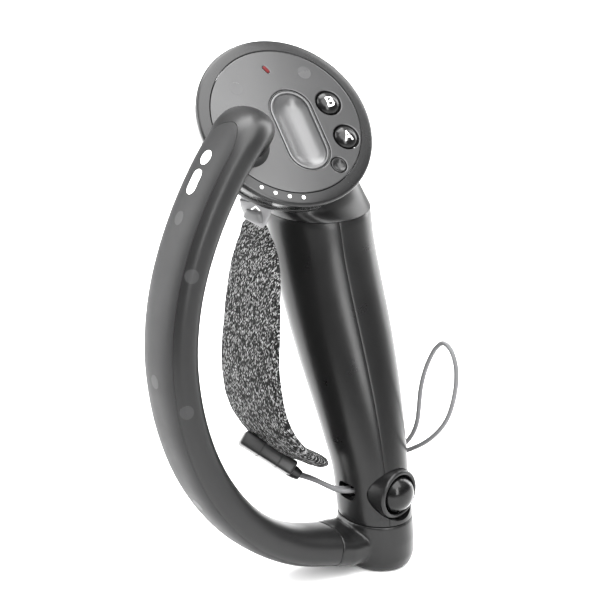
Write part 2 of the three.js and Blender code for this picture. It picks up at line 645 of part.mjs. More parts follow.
function buildPommel() {
  const base = loft(POMMEL_SECTIONS.map((section) => gripOval(section, 0, 30)));
  const back = ringCurve.getTangentAt(0).multiplyScalar(-GAP);
  const fullTurn = 2 * Math.PI * (1 - 1 / RING_SIDES);
  const outlet = ringArc(0, 0, 0, fullTurn, RING_SIDES).map((p) => p.add(back));
  const arm = [-15, -6].map((x, i) => {
    const outline = fullOval(RING_HALF_THICKNESS - 0.4 * i, RING_HALF_WIDTH - i, RING_SIDES, 2.6);
    return outline.map((p) => new THREE.Vector3(x, p.y + 1, RING_PATH[0].z - 0.8 - 0.3 * i - p.x));
  });
  const { width, height, depth } = USB;
  const mouth = (grow) => slot(0, USB.y, height + grow, width + grow, Math.PI / 2);
  const socket = slab(mouth(2 * GAP), -1, depth + 0.5);
  const contactHoles = [-1, 1].map((side) => {
    const hole = cylinder(CONTACT.radius + GAP, -1, CONTACT.depth + 0.5, 20);
    return hole.translate(side * CONTACT.x, CONTACT.y, 0);
  });
  const screwHole = cylinder(SCREW.radius + GAP, -1, SCREW.depth + 1, 20).translate(0, SCREW.y, 0);
  const body = join(base, loft([outlet, ...arm]));
  part('pommel_housing', cut(body, socket, ...contactHoles, screwHole), 'shell');

  part('usb_shell', slab(mouth(0), 0.4, depth, [mouth(-2 * USB.wall)]), 'steel');
  part('usb_tongue', block(6.6, 0.7, depth - 1.5, 0, USB.y, (depth + 1.5) / 2), 'gloss');
  [-1, 1].forEach((side, i) => {
    const pad = cylinder(CONTACT.radius, 0.2, CONTACT.depth, 20).translate(side * CONTACT.x, CONTACT.y, 0);
    part(`dock_contact_${i + 1}`, pad, 'gold');
  });
  const drive = cylinder(0.8, -1, 0.9, 6);
  const head = cut(cylinder(SCREW.radius, 0.3, SCREW.depth, 20), drive);
  part('pommel_screw', head.translate(0, SCREW.y, 0), 'steel');
}

// ---- Cord lock ----------------------------------------------------------------------------------

// Turned bodies about the lock's axis: z is how far a point stands out of the grip
function onLock(profile, sides) {
  const geometry = lathe(profile, sides).rotateX(Math.PI / 2).rotateZ(LOCK_TURN);
  return geometry.translate(LOCK_CENTRE.x, LOCK_CENTRE.y, LOCK_CENTRE.z);
}

function buildCordLock() {
  const { bezelOuter, bezelInner, bezelFoot, buttonRadius, dome, travel } = LOCK;
  const bezel = [
    [bezelInner, 0.4], [bezelOuter - 0.5, 0.4], [bezelOuter, -0.2], [bezelOuter, bezelFoot],
    [bezelInner, bezelFoot], [bezelInner, 0.4],
  ];
  part('cord_lock_bezel', onLock(bezel, 24), 'shell');
  const stem = -8;
  const button = [
    [0, dome], [buttonRadius * 0.5, dome * 0.86], [buttonRadius * 0.85, dome * 0.5], [buttonRadius, -0.6],
    [buttonRadius, -2.2], [3, -2.2], [3, stem], [0, stem],
  ];
  part('cord_lock_button', onLock(button, 24), 'gloss');
  const mouth = stem + GAP + 1.2;
  const floor = stem - travel - 6;
  const frame = [
    [3.3, mouth], [5.4, mouth], [5.4, floor - 1.2], [0, floor - 1.2], [0, floor], [3.3, floor],
    [3.3, mouth],
  ];
  part('cord_lock_frame', onLock(frame, 16), 'shell');
  const turns = 4;
  const length = 5.2;
  const coil = Array.from({ length: turns * 7 + 1 }, (_, i) => {
    const angle = i * 2 * Math.PI / 7;
    return new THREE.Vector3(2.3 * Math.cos(angle), 2.3 * Math.sin(angle), length * i / (turns * 7));
  });
  const spring = wire(coil, 0.25, turns * 7, 5).translate(0, 0, floor + 0.5);
  spring.rotateX(Math.PI / 2).rotateZ(LOCK_TURN).translate(LOCK_CENTRE.x, LOCK_CENTRE.y, LOCK_CENTRE.z);
  part('cord_lock_spring', spring, 'steel');
}

// ---- Tracking ring ------------------------------------------------------------------------------

const RING_WIDE = new THREE.Vector3(0, 1, -RING_LEAN).normalize();
const ringPoints = RING_PATH.map(({ x, z }) => new THREE.Vector3(x, z * RING_LEAN, z));
const ringCurve = new THREE.CatmullRomCurve3(ringPoints, false, 'centripetal');

// Points round the ring's section at u, from angle `from` to `to`; 0 is straight outwards
function ringArc(u, inset, from, to, count) {
  const centre = ringCurve.getPointAt(u);
  const outward = new THREE.Vector3().crossVectors(RING_WIDE, ringCurve.getTangentAt(u)).normalize();
  if (outward.x * centre.x + outward.z * (centre.z - 80) < 0) outward.negate();
  const arc = superellipse(RING_HALF_THICKNESS - inset, RING_HALF_WIDTH - inset, 2.6, from, to, count);
  return arc.map((p) => centre.clone().addScaledVector(outward, p.x).addScaledVector(RING_WIDE, p.y));
}

function ringShell(from, to, count, start, end, steps) {
  const outlines = [];
  for (let i = 0; i <= steps; i += 1) {
    const u = THREE.MathUtils.lerp(start, end, i / steps);
    const inner = ringArc(u, WALL, from, to, count).reverse();
    outlines.push([...ringArc(u, 0, from, to, count), ...inner]);
  }
  return loft(outlines);
}

function buildRing() {
  const seam = degrees(1.4);
  const outer = ringShell(-RING_SPLIT, RING_SPLIT, 6, 0, 1, 26);
  part('ring_outer_shell', outer, 'shell');
  const inner = ringShell(RING_SPLIT + seam, 2 * Math.PI - RING_SPLIT - seam, 13, 0, 1, 26);
  part('ring_inner_shell', inner, 'shell');
  buildRingInside();
}

function buildRingInside() {
  const strip = [];
  const steps = 20;
  for (let i = 0; i <= steps; i += 1) {
    const u = THREE.MathUtils.lerp(0.06, 0.94, i / steps);
    const centre = ringCurve.getPointAt(u);
    const outward = ringArc(u, 0, 0, 1, 2)[0].sub(centre).normalize();
    const corners = [[0.2, -4], [0.2, 4], [-0.2, 4], [-0.2, -4]];
    strip.push(corners.map(([t, w]) => {
      return centre.clone().addScaledVector(outward, t).addScaledVector(RING_WIDE, w);
    }));
  }
  part('ring_flex_board', loft(strip), 'board');
  [0.2, 0.42, 0.64, 0.86].forEach((u, i) => {
    const centre = ringCurve.getPointAt(u);
    const outward = ringArc(u, 0, 0, 1, 2)[0].sub(centre).normalize();
    const disc = cylinder(2.2, 1, 2.6, 16);
    disc.applyQuaternion(new THREE.Quaternion().setFromUnitVectors(new THREE.Vector3(0, 0, 1), outward));
    part(`ring_sensor_${i + 1}`, disc.translate(...centre.toArray()), 'gloss');
  });
}

// Foot of the ring's root on the face plate
const ROOT_FOOT = { x: -17.8, y: -3, spigot: 5.4 };

// Domed root: leaves the ring, bends over and lands on the face plate
function buildRingRoot() {
  const end = ringPoints.at(-1);
  const foot = (z) => onFace(ROOT_FOOT.x, ROOT_FOOT.y, z);
  const tangent = ringCurve.getTangentAt(1);
  const start = end.clone().addScaledVector(tangent, GAP);
  const stations = [
    { at: start, t: RING_HALF_THICKNESS, w: RING_HALF_WIDTH },
    { at: start.clone().addScaledVector(tangent, 1.8), t: 6.6, w: 11.2 },
    { at: new THREE.Vector3(-38.8, 21.2, 150.4), t: 6.8, w: 10.6 },
    { at: new THREE.Vector3(-34.6, 25.4, 150), t: 6.8, w: 9.4 },
    { at: foot(4), t: 7, w: 8.4 },
    { at: foot(2), t: 7.4, w: 8.4 },
    { at: foot(GAP), t: 8, w: 8.6 },
    { at: foot(GAP - 0.01), t: ROOT_FOOT.spigot, w: ROOT_FOOT.spigot },
    { at: foot(-4.6), t: ROOT_FOOT.spigot, w: ROOT_FOOT.spigot },
  ];
  const into = new THREE.Vector3(0, Math.sin(FACE_TILT), -Math.cos(FACE_TILT));
  const outlines = stations.map(({ at, t, w }, i) => {
    const along = tangent.clone();
    if (i > 1) along.subVectors(stations[Math.min(i + 1, 4)].at, stations[Math.min(i, 4) - 1].at);
    if (i > 3) along.copy(into);
    along.normalize();
    const wide = RING_WIDE.clone().addScaledVector(along, -RING_WIDE.dot(along)).normalize();
    const out = new THREE.Vector3().crossVectors(wide, along).normalize();
    const power = 2 + Math.max(0, 0.6 - 0.2 * i);
    return fullOval(t, w, RING_SIDES, power).map((p) => {
      return at.clone().addScaledVector(out, p.x).addScaledVector(wide, p.y);
    });
  });
  part('ring_root', loft(outlines), 'shell');
}

// Plain pill and dot inlaid in the ring's outer cover near its top
function buildRingMark() {
  const u = 0.93;
  const centre = ringCurve.getPointAt(u);
  const outward = ringArc(u, 0, 0, 1, 2)[0].sub(centre).normalize();
  const along = new THREE.Vector3().crossVectors(outward, RING_WIDE);
  const basis = new THREE.Matrix4().makeBasis(RING_WIDE, along, outward);
  const pill = slab(slot(-3, 0, 4.4, 9), 0, 0.35);
  pill.applyMatrix4(basis);
  const lift = centre.clone().addScaledVector(outward, RING_HALF_THICKNESS + 0.1);
  part('ring_mark', pill.translate(...lift.toArray()), 'white');
}

// ---- Assembly -----------------------------------------------------------------------------------

buildFacePlate();
buildFaceRim();
buildFaceDetails();
buildTrackpad();
buildButtons();
buildHeadShell();
buildTrigger();
buildSlider();
buildStrap();
buildCordGuide();
buildCords();
buildGrip();
buildGripInside();
buildPommel();
buildCordLock();
buildRing();
buildRingRoot();
buildRingMark();

export default group;
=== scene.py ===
"""Looks of a left-hand VR motion controller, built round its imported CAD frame.

Sizes are written in millimetres and turned into metres by mm(). +Z is up, -Y is towards the user and
-X towards the tracking ring; the origin is the centre of the flat dock face under the pommel.
"""

import math

import bmesh
import bpy
import numpy as np
from mathutils import Matrix, Vector
from mathutils.bvhtree import BVHTree


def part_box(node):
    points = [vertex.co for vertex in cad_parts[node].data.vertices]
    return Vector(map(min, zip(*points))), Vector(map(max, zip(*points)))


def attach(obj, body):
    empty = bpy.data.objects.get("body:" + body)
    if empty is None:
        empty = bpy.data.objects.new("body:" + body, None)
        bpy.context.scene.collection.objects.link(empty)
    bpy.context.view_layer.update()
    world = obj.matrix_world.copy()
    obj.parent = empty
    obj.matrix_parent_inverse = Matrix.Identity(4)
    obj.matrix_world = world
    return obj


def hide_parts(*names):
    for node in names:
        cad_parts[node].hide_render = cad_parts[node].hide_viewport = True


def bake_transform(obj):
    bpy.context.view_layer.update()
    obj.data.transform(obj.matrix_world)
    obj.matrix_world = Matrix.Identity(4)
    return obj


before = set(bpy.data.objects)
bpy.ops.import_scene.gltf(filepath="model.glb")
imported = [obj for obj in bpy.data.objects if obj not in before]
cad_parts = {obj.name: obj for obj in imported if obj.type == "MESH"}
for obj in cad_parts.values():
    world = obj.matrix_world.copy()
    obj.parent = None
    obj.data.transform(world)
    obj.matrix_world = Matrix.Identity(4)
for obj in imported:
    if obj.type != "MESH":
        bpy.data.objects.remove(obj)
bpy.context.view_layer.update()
ROOT = "controller"
CARRIAGE = "strap_carriage"


def axes(x, y, z):
    """Rotation matrix whose columns are the three directions."""
    return Matrix((x, y, z)).transposed()


def mm(*values):
    """Millimetres to metres: one number, or a vector of three."""
    if len(values) == 1:
        return values[0] / 1000
    return Vector(values) / 1000


# ---- Driving dimensions, as in the CAD frame -----------------------------------------------------

RIM_LOW, RIM_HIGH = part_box("face_rim")
FACE_RADIUS = (RIM_HIGH.x - RIM_LOW.x) * 500
FACE_TILT = math.radians(44.4)
FACE_CENTRE = Vector((-13.5, 35, 146))
RIM_WIDTH = 4.4
RIM_DEPTH = 6
TRACKPAD = {"x": 3.4, "y": -3.9, "width": 14.6, "length": 29, "dish": 2.8}
BUTTONS = {"a": (18.6, -9.6), "b": (17.6, 3.5)}
BUTTON_RADIUS = 4.2
BUTTON_FOOT = -4.6                  # lowest height of the three buttons' stems
PLATE_FOOT = -2.4                   # underside of the plate, the rim's inner lip and the trim
SYSTEM_BUTTON = (11.6, -18.8)
SYSTEM_RADIUS = 2.6
LED = {"x": 0.8, "y": 19.4, "width": 1.2, "length": 2.8, "turn": math.radians(25)}
WINDOWS = [(13.8, 15.8), (-12.6, 14.8)]
WINDOW_RADIUS = 2.3
DOT_CIRCLE = 27.8
DOT_RADIUS = 0.65
POSITIONS = [math.radians(-131.5 + 10 * i) for i in range(4)]
SLIDER_REST = math.radians(-128)
SEAM_X = -3
LOCK_CENTRE = Vector((1.5, -10.6, 27))
LOCK_TURN = math.radians(14)
LOCK_BORE_RADIUS = 8.65
RING_LEAN = 0.127
RING_HALF_WIDTH = 11.3
RING_HALF_THICKNESS = 6.4
RING_POWER = 2.6
COVER_ANGLE = math.radians(50)
CORD_RADIUS = 0.8

# z, y of the middle, half width, half depth of level ovals
GRIP_SECTIONS = [
    (17.1, 1.3, 11.9, 14.1), (31, 4.4, 11.9, 14.4), (40, 7.6, 12.8, 15.5), (54, 13.3, 14.4, 17),
    (67, 19.2, 15.8, 18), (80, 25.2, 16.7, 18.4), (92, 30.6, 17, 18.5), (103, 35, 17.1, 18.7),
    (113.7, 38.3, 17.5, 19),
]
POMMEL_SECTIONS = [
    (0, 0.5, 9.5, 11.5), (0.5, 0.5, 10.4, 12.4), (1.6, 0.5, 11.3, 13.3), (4, 0.5, 12, 14),
    (10, 0.8, 12.2, 14.4), (16.8, 1.3, 11.9, 14.1),
]
# near and far points (y, z) in the face's frame, middle x and half width of the housing's ovals
HEAD_STATIONS = [
    ((-25.4, -4), (25.4, -4), 0, 25.4),
    ((-25.3, -6.6), (25.2, -7.5), 0.3, 25.2),
    ((-25, -9.6), (23.6, -14.5), 1.8, 24),
    ((-25.3, -11.6), (18.5, -22), 5, 22),
    ((-28.4, -12.6), (9.5, -29.5), 9.4, 19.6),
]
RING_PATH = [
    (-20, 9.6), (-33, 13), (-46, 20.6), (-56, 30.8), (-64.6, 45.5), (-69.9, 63.5), (-71.4, 82), (-70, 95),
    (-66.8, 107.5), (-61.4, 120.5), (-55, 132), (-47, 143.4), (-43.2, 147.6),
]
ROOT_FOOT = (-17.8, -3)
# x, y, z, width, thickness
STRAP_SECTIONS = [
    (-28.6, 30.2, 117, 12, 2), (-28.3, 30.5, 113.4, 16, 2.6), (-27.8, 30.6, 109.6, 21, 3.4),
    (-28.6, 29.2, 105.5, 26, 4.6), (-31.6, 25.5, 98, 31, 5), (-35.2, 21.8, 84, 34, 5),
    (-37.2, 19, 69, 36, 5), (-35.4, 16.4, 54, 36, 5), (-28.5, 13.2, 43.2, 30, 5), (-18, 7.5, 36.8, 15, 4.5),
]
STRAP_ACROSS = Vector((0, 0.985, -0.17)).normalized()
GUIDE_ROUTE = [Vector((-37.2, 25.6, 42.6)), Vector((-24.4, 14.2, 32.2))]
GUIDE_GROOVES = (-2.6, 4.4)         # along the guide, from its middle
STRAND_ROUTE = [(-23.6, 13.7, 31.3), (-19.5, 9.4, 30), (-14, 3, 27.4), (-9.2, 0.8, 27)]
LOOP_ROUTE = [
    (9.4, 4, 35.9), (12.4, 3.6, 36.6), (15, 2.4, 40), (16.2, 1.2, 44.6), (16.4, 0.4, 50), (16.4, -0.4, 57),
    (16.4, -2.2, 63.5), (16.4, -5.2, 70), (16.4, -9.4, 76), (16.4, -13.2, 78.6), (16.4, -17, 77.8),
    (16.4, -19.8, 74), (16.4, -20.6, 68.5), (16.4, -19.2, 60.5), (16.4, -15.8, 52.5), (15.8, -10.6, 45.5),
    (14.6, -4.6, 39.8), (12.4, 1, 35.8), (9.4, 2.1, 35.1),
]

FACE = Matrix.Translation(FACE_CENTRE) @ Matrix.Rotation(FACE_TILT, 4, "X")
LOCK = (Matrix.Translation(LOCK_CENTRE) @ Matrix.Rotation(LOCK_TURN, 4, "Z")
        @ Matrix.Rotation(math.pi / 2, 4, "X"))


# ---- Mesh helpers: everything is worked out in millimetres and stored in metres ------------------


def smooth_path(points, count):
    """count rows, evenly spaced along a smooth curve through the given rows; x, y, z come first."""
    points = np.array(points, float)
    points = np.vstack([2 * points[0] - points[1], points, 2 * points[-1] - points[-2]])
    dense = []
    for p0, p1, p2, p3 in zip(points, points[1:], points[2:], points[3:]):
        pairs = ((p0, p1), (p1, p2), (p2, p3))
        steps = [max(np.linalg.norm((b - a)[:3]) ** 0.5, 1e-6) for a, b in pairs]
        t1 = steps[0]
        t2 = t1 + steps[1]
        t3 = t2 + steps[2]
        for t in np.linspace(t1, t2, 24, endpoint=False):
            a1 = p0 + (p1 - p0) * t / t1
            a2 = p1 + (p2 - p1) * (t - t1) / (t2 - t1)
            a3 = p2 + (p3 - p2) * (t - t2) / (t3 - t2)
            b1 = a1 + (a2 - a1) * t / t2
            b2 = a2 + (a3 - a2) * (t - t1) / (t3 - t1)
            dense.append(b1 + (b2 - b1) * (t - t1) / (t2 - t1))
    dense = np.array(dense + [points[-2]])
    run = np.concatenate([[0], np.cumsum(np.linalg.norm(np.diff(dense[:, :3], axis=0), axis=1))])
    at = np.linspace(0, run[-1], count)
    return np.column_stack([np.interp(at, run, column) for column in dense.T])


def superellipse(half_x, half_y, power, angles):
    """Points of an oval (power 2) or rounded box (more) at the given angles."""
    cos, sin = np.cos(angles), np.sin(angles)
    x = half_x * np.sign(cos) * np.abs(cos) ** (2 / power)
    y = half_y * np.sign(sin) * np.abs(sin) ** (2 / power)
    return np.column_stack([x, y])


def turn(count, start=0.0):
    return start + np.linspace(0, 2 * math.pi, count, endpoint=False)


def new_object(name, points, faces, place=None, smooth_angle=35):
    """A mesh object from millimetre points, moved by the millimetre matrix `place`."""
    mesh = bpy.data.meshes.new(name)
    place = place or Matrix()
    mesh.from_pydata([tuple((place @ Vector(p)) / 1000) for p in points], [], faces)
    mesh.update()
    work = bmesh.new()
    work.from_mesh(mesh)
    bmesh.ops.remove_doubles(work, verts=work.verts, dist=mm(0.002))
    bmesh.ops.recalc_face_normals(work, faces=work.faces)
    work.to_mesh(mesh)
    work.free()
    made = bpy.data.objects.new(name, mesh)
    bpy.context.collection.objects.link(made)
    return smoothed(made, smooth_angle)


def smoothed(piece, angle=35):
    piece.data.shade_smooth()
    piece.data.set_sharp_from_angle(angle=math.radians(angle))
    return piece


def grid_faces(rows, columns, wrap_rows=False, wrap_columns=True):
    faces = []
    for i in range(rows if wrap_rows else rows - 1):
        for j in range(columns if wrap_columns else columns - 1):
            k, m = (i + 1) % rows, (j + 1) % columns
            faces.append((i * columns + j, i * columns + m, k * columns + m, k * columns + j))
    return faces


def loft(name, rings, hollow=False, place=None, smooth_angle=35):
    """Skin over closed outlines; hollow joins the last outline back to the first, otherwise it is capped."""
    rings = [np.asarray(ring) for ring in rings]
    count = len(rings[0])
    faces = grid_faces(len(rings), count, wrap_rows=hollow)
    if not hollow:
        faces.append(tuple(range(count)))
        faces.append(tuple(range((len(rings) - 1) * count, len(rings) * count)))
    return new_object(name, np.vstack(rings), faces, place, smooth_angle)


def lathe(name, profile, sides=96, place=None, centre=(0, 0), smooth_angle=35):
    """Solid of revolution about Z from (radius, height) pairs that start and end on the axis."""
    angles = turn(sides)
    rings = []
    for radius, height in profile:
        x = centre[0] + radius * np.cos(angles)
        y = centre[1] + radius * np.sin(angles)
        rings.append(np.column_stack([x, y, np.full(sides, height)]))
    closed = profile[0][0] > 0 and profile[-1][0] > 0
    return loft(name, rings, hollow=closed, place=place, smooth_angle=smooth_angle)


def drum(radius, low, high, sides=48, place=None, centre=(0, 0)):
    """Plain round cutter about Z."""
    profile = [(0, low), (radius, low), (radius, high), (0, high)]
    return lathe("cutter", profile, sides, place, centre)


def lying(x, y, z):
    """Place whose Z runs along X."""
    return Matrix.Translation((x, y, z)) @ Matrix.Rotation(math.pi / 2, 4, "Y")


def rounded(profile, radius, steps=4):
    """The profile with each inner corner turned into a small arc."""
    points = [np.array(p, float) for p in profile]
    out = [points[0]]
    for before, corner, after in zip(points, points[1:], points[2:]):
        a, b = before - corner, after - corner
        cut = min(radius, np.linalg.norm(a) / 2.1, np.linalg.norm(b) / 2.1)
        start = corner + a / np.linalg.norm(a) * cut
        end = corner + b / np.linalg.norm(b) * cut
        for t in np.linspace(0, 1, steps):
            out.append((1 - t) ** 2 * start + 2 * t * (1 - t) * corner + t ** 2 * end)
    return [tuple(p) for p in out + [points[-1]]]


def slot(width, length, count=24):
    """Upright slot outline with round ends, centred on the origin."""
    half = np.linspace(0, math.pi, count)
    reach = (length - width) / 2
    upper = np.column_stack([width / 2 * np.cos(half), width / 2 * np.sin(half) + reach])
    return np.vstack([upper, -upper])


def turned(outline, angle):
    cos, sin = math.cos(angle), math.sin(angle)
    return outline @ np.array([[cos, sin], [-sin, cos]])


def at_height(outline, z, x=0.0, y=0.0):
    return np.column_stack([outline[:, 0] + x, outline[:, 1] + y, np.full(len(outline), z)])


def baked(piece):
    """Applies the piece's modifiers and returns it."""
    graph = bpy.context.evaluated_depsgraph_get()
    mesh = bpy.data.meshes.new_from_object(piece.evaluated_get(graph))
    piece.modifiers.clear()
    piece.data = mesh
    return piece


def add_modifier(piece, kind, **values):
    modifier = piece.modifiers.new(kind.lower(), kind)
    for key, value in values.items():
        setattr(modifier, key, value)
    bpy.context.view_layer.update()
    return piece


def combine(piece, others, operation):
    for other in others:
        add_modifier(piece, "BOOLEAN", operation=operation, solver="EXACT", object=other)
    baked(piece)
    for other in others:
        bpy.data.objects.remove(other)
    return smoothed(piece)


def carve(piece, *tools):
    return combine(piece, tools, "DIFFERENCE")


def fuse(piece, *others):
    return combine(piece, others, "UNION")


def softened(piece, voxel, rounds):
    """One even skin over a joined body, with its inner corners run into fillets."""
    add_modifier(piece, "REMESH", mode="VOXEL", voxel_size=mm(voxel))
    add_modifier(piece, "SMOOTH", factor=0.5, iterations=rounds)
    return smoothed(baked(piece), 60)


def bevelled(piece, width, segments=3, angle=40):
    add_modifier(piece, "BEVEL", width=mm(width), segments=segments, limit_method="ANGLE",
                 angle_limit=math.radians(angle), harden_normals=False)
    return smoothed(baked(piece), 50)


def dressed(piece, material, slot_name, *nodes, body=ROOT):
    """Gives a piece its material, its body and the CAD nodes that it stands for, which are hidden; slot_name is not
    used.
    """
    piece.data.materials.clear()
    piece.data.materials.append(material)
    if body:
        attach(piece, body)
    if nodes:
        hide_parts(*nodes)
    return piece


def block(name, size, centre, place=None):
    square = ((-0.5, -0.5), (0.5, -0.5), (0.5, 0.5), (-0.5, 0.5))
    corners = [(x, y, z) for z in (-0.5, 0.5) for x, y in square]
    points = [Vector(centre) + Vector(a * b for a, b in zip(c, size)) for c in corners]
    faces = [(0, 1, 2, 3), (4, 5, 6, 7), (0, 1, 5, 4), (1, 2, 6, 5), (2, 3, 7, 6), (3, 0, 4, 7)]
    return new_object(name, points, faces, place)


# ---- Materials -----------------------------------------------------------------------------------


class Paint:
    """A node material with helpers for the few node kinds used here."""

    def __init__(self, name):
        self.material = bpy.data.materials.new(name)
        self.material.use_nodes = True
        self.tree = self.material.node_tree
        self.shader = self.tree.nodes["Principled BSDF"]
        self.place = self.node("ShaderNodeTexCoord")

    def node(self, kind, **values):
        made = self.tree.nodes.new(kind)
        for key, value in values.items():
            setattr(made, key, value)
        return made

    def link(self, source, target):
        self.tree.links.new(source, target)

    def math(self, operation, first, second=None):
        made = self.node("ShaderNodeMath", operation=operation)
        for socket, value in zip(made.inputs, (first, second)):
            if isinstance(value, (int, float)):
                socket.default_value = value
            elif value is not None:
                self.link(value, socket)
        return made.outputs[0]

    def times(self, first, second):
        return self.math("MULTIPLY", first, second)

    def plus(self, first, second):
        return self.math("ADD", first, second)

    def noise(self, scale, detail):
        made = self.node("ShaderNodeTexNoise")
        for key, value in (("Scale", scale), ("Detail", detail), ("Roughness", 0.6)):
            made.inputs[key].default_value = value
        self.link(self.place.outputs["Object"], made.inputs["Vector"])
        return made.outputs[0]

    def coloured(self, source, stops, socket="Base Color"):
        self.link(self.ramp(source, stops), self.shader.inputs[socket])

    def ramp(self, source, stops):
        made = self.node("ShaderNodeValToRGB")
        elements = made.color_ramp.elements
        while len(elements) < len(stops):
            elements.new(0.5)
        for element, (position, value) in zip(elements, stops):
            element.position = position
            colour = value if isinstance(value, tuple) else (value, value, value)
            element.color = (*colour, 1)
        self.link(source, made.inputs[0])
        return made.outputs[0]

    def bump(self, height, strength, distance):
        made = self.node("ShaderNodeBump")
        made.inputs["Strength"].default_value = strength
        made.inputs["Distance"].default_value = mm(distance)
        self.link(height, made.inputs["Height"])
        self.link(made.outputs[0], self.shader.inputs["Normal"])

    def set(self, **values):
        for key, value in values.items():
            self.shader.inputs[key.replace("_", " ")].default_value = value
        return self


def moulded(name, colour, roughness, grain=0.22, relief=0.35, spread=0.12, specular=0.5):
    """Moulded plastic: a fine spark-eroded grain, and slow changes of tone and polish from handling."""
    paint = Paint(name)
    tint = paint.noise(35, 4)
    fine = paint.noise(1000 / grain, 2)
    low = tuple(c * (1 - spread) for c in colour)
    high = tuple(c * (1 + spread) for c in colour)
    mixed = paint.plus(paint.times(tint, 0.75), paint.times(fine, 0.25))
    paint.coloured(mixed, [(0.3, low), (0.7, high)])
    paint.coloured(paint.noise(60, 5), [(0.3, roughness * 0.88), (0.7, roughness * 1.12)], "Roughness")
    paint.bump(fine, relief, 0.05)
    paint.set(Specular_IOR_Level=specular)
    return paint.material


def metal(name, colour, roughness):
    paint = Paint(name)
    streak = paint.noise(900, 3)
    low = tuple(c * 0.85 for c in colour)
    paint.coloured(streak, [(0.3, low), (0.7, colour)])
    paint.coloured(paint.noise(300, 4), [(0.3, roughness * 0.7), (0.7, roughness * 1.3)], "Roughness")
    paint.set(Metallic=1.0)
    return paint.material


def knitted(name, stitch_width=0.8, stitch_height=0.5):
    """Marled jersey: columns of V stitches, each leg in a dark, middling or pale yarn. UVs are in metres."""
    paint = Paint(name)
    split = paint.node("ShaderNodeSeparateXYZ")
    paint.link(paint.place.outputs["UV"], split.inputs[0])
    across = paint.math("DIVIDE", split.outputs[0], mm(stitch_width) / 2)
    across = paint.plus(across, paint.times(paint.noise(900, 2), 0.4))
    leg = paint.math("FRACT", across)
    column = paint.math("FLOOR", across)
    side = paint.math("SUBTRACT", paint.times(paint.math("PINGPONG", column, 1), 2), 1)
    slope = paint.times(paint.times(side, leg), 0.8)
    along = paint.plus(paint.math("DIVIDE", split.outputs[1], mm(stitch_height)), slope)
    along = paint.plus(along, paint.times(paint.noise(700, 2), 0.4))
    row = paint.math("FLOOR", along)
    join = paint.node("ShaderNodeCombineXYZ")
    paint.link(column, join.inputs[0])
    paint.link(row, join.inputs[1])
    yarn = paint.node("ShaderNodeTexWhiteNoise", noise_dimensions="2D")
    paint.link(join.outputs[0], yarn.inputs["Vector"])
    fibre = paint.times(paint.noise(4200, 3), 0.45)
    shade = paint.plus(paint.times(yarn.outputs[0], 0.8), paint.math("SUBTRACT", fibre, 0.12))
    stops = [(0.0, 0.002), (0.5, 0.004), (0.61, 0.02), (0.73, 0.1), (0.88, 0.28), (1.0, 0.42)]
    paint.coloured(shade, stops)
    round_leg = paint.math("SINE", paint.times(leg, math.pi))
    round_row = paint.math("SINE", paint.times(paint.math("FRACT", along), math.pi))
    height = paint.math("POWER", paint.times(round_leg, round_row), 0.6)
    paint.bump(paint.plus(height, fibre), 0.8, 0.28)
    paint.set(Roughness=0.92, Specular_IOR_Level=0.15)
    return paint.material


def braided(name, colour, pitch=1.6, strands=8):
    """Fine round braid: two sets of helices, with painted shade darkening the dips between strands. UVs are turns
    round and metres along.
    """
    paint = Paint(name)
    split = paint.node("ShaderNodeSeparateXYZ")
    paint.link(paint.place.outputs["UV"], split.inputs[0])
    around = paint.times(split.outputs[0], strands * math.pi)
    along = paint.times(split.outputs[1], strands * math.pi / mm(pitch) / 2)
    one = paint.math("SINE", paint.plus(around, along))
    two = paint.math("SINE", paint.math("SUBTRACT", around, along))
    weave = paint.times(paint.plus(paint.times(one, two), 1), 0.5)
    # Painted shade: the yarn colour is darkened to 55% in the weave's dips between the strands.
    low = tuple(c * 0.55 for c in colour)
    paint.coloured(weave, [(0.15, low), (0.7, colour)])
    paint.bump(weave, 0.6, 0.12)
    paint.set(Roughness=0.6, Sheen_Weight=0.15)
    return paint.material


def grey(value):
    return (value, value, value * 1.02)


SHELL = moulded("satin shell", grey(0.005), 0.3, grain=0.2, relief=0.14, specular=0.24)
RING_SHELL = moulded("ring shell", grey(0.007), 0.36, grain=0.24, relief=0.14, specular=0.22)
COVER = moulded("ring cover", grey(0.013), 0.48, grain=0.24, relief=0.16, specular=0.13)
FACE_PLASTIC = moulded("face plastic", grey(0.018), 0.2, grain=0.22, relief=0.08, specular=0.36)
RIM_PLASTIC = moulded("rim plastic", grey(0.008), 0.26, grain=0.22, relief=0.08, specular=0.24)
PAD_PLASTIC = moulded("trackpad plastic", grey(0.04), 0.3, grain=0.16, relief=0.12)
WINDOW = moulded("infrared window", grey(0.026), 0.27, grain=0.3, relief=0.06, specular=0.34)
RING_WINDOW = moulded("ring window", grey(0.022), 0.42, grain=0.3, relief=0.1, specular=0.16)
TAB_PLASTIC = moulded("slider plastic", grey(0.15), 0.45, grain=0.2, relief=0.2)
BUTTON_PLASTIC = moulded("slider grip", grey(0.07), 0.4, grain=0.2, relief=0.2)
GLOSS = moulded("gloss black", grey(0.003), 0.2, grain=0.6, relief=0.03, specular=0.2)
TRIM = moulded("trim line", grey(0.012), 0.3, grain=0.4, relief=0.05)
WHITE = moulded("white ink", (0.85, 0.85, 0.84), 0.5, grain=0.3, relief=0.08, spread=0.03)
LENS = moulded("lamp lens", (0.06, 0.003, 0.004), 0.5, grain=0.5, relief=0.04, specular=0.1)
GUIDE = moulded("guide block", grey(0.01), 0.36, grain=0.3, relief=0.15, specular=0.25)
STEEL = metal("bright steel", (0.62, 0.62, 0.64), 0.25)
GOLD = metal("plated contact", (0.83, 0.62, 0.27), 0.22)
BOARD = moulded("solder mask", (0.015, 0.09, 0.035), 0.35, grain=0.5, relief=0.1)
CELL = moulded("pouch wrap", (0.03, 0.07, 0.14), 0.4, grain=0.8, relief=0.1)
KNIT = knitted("marled knit")
CORD = braided("grey braid", (0.09, 0.09, 0.093))


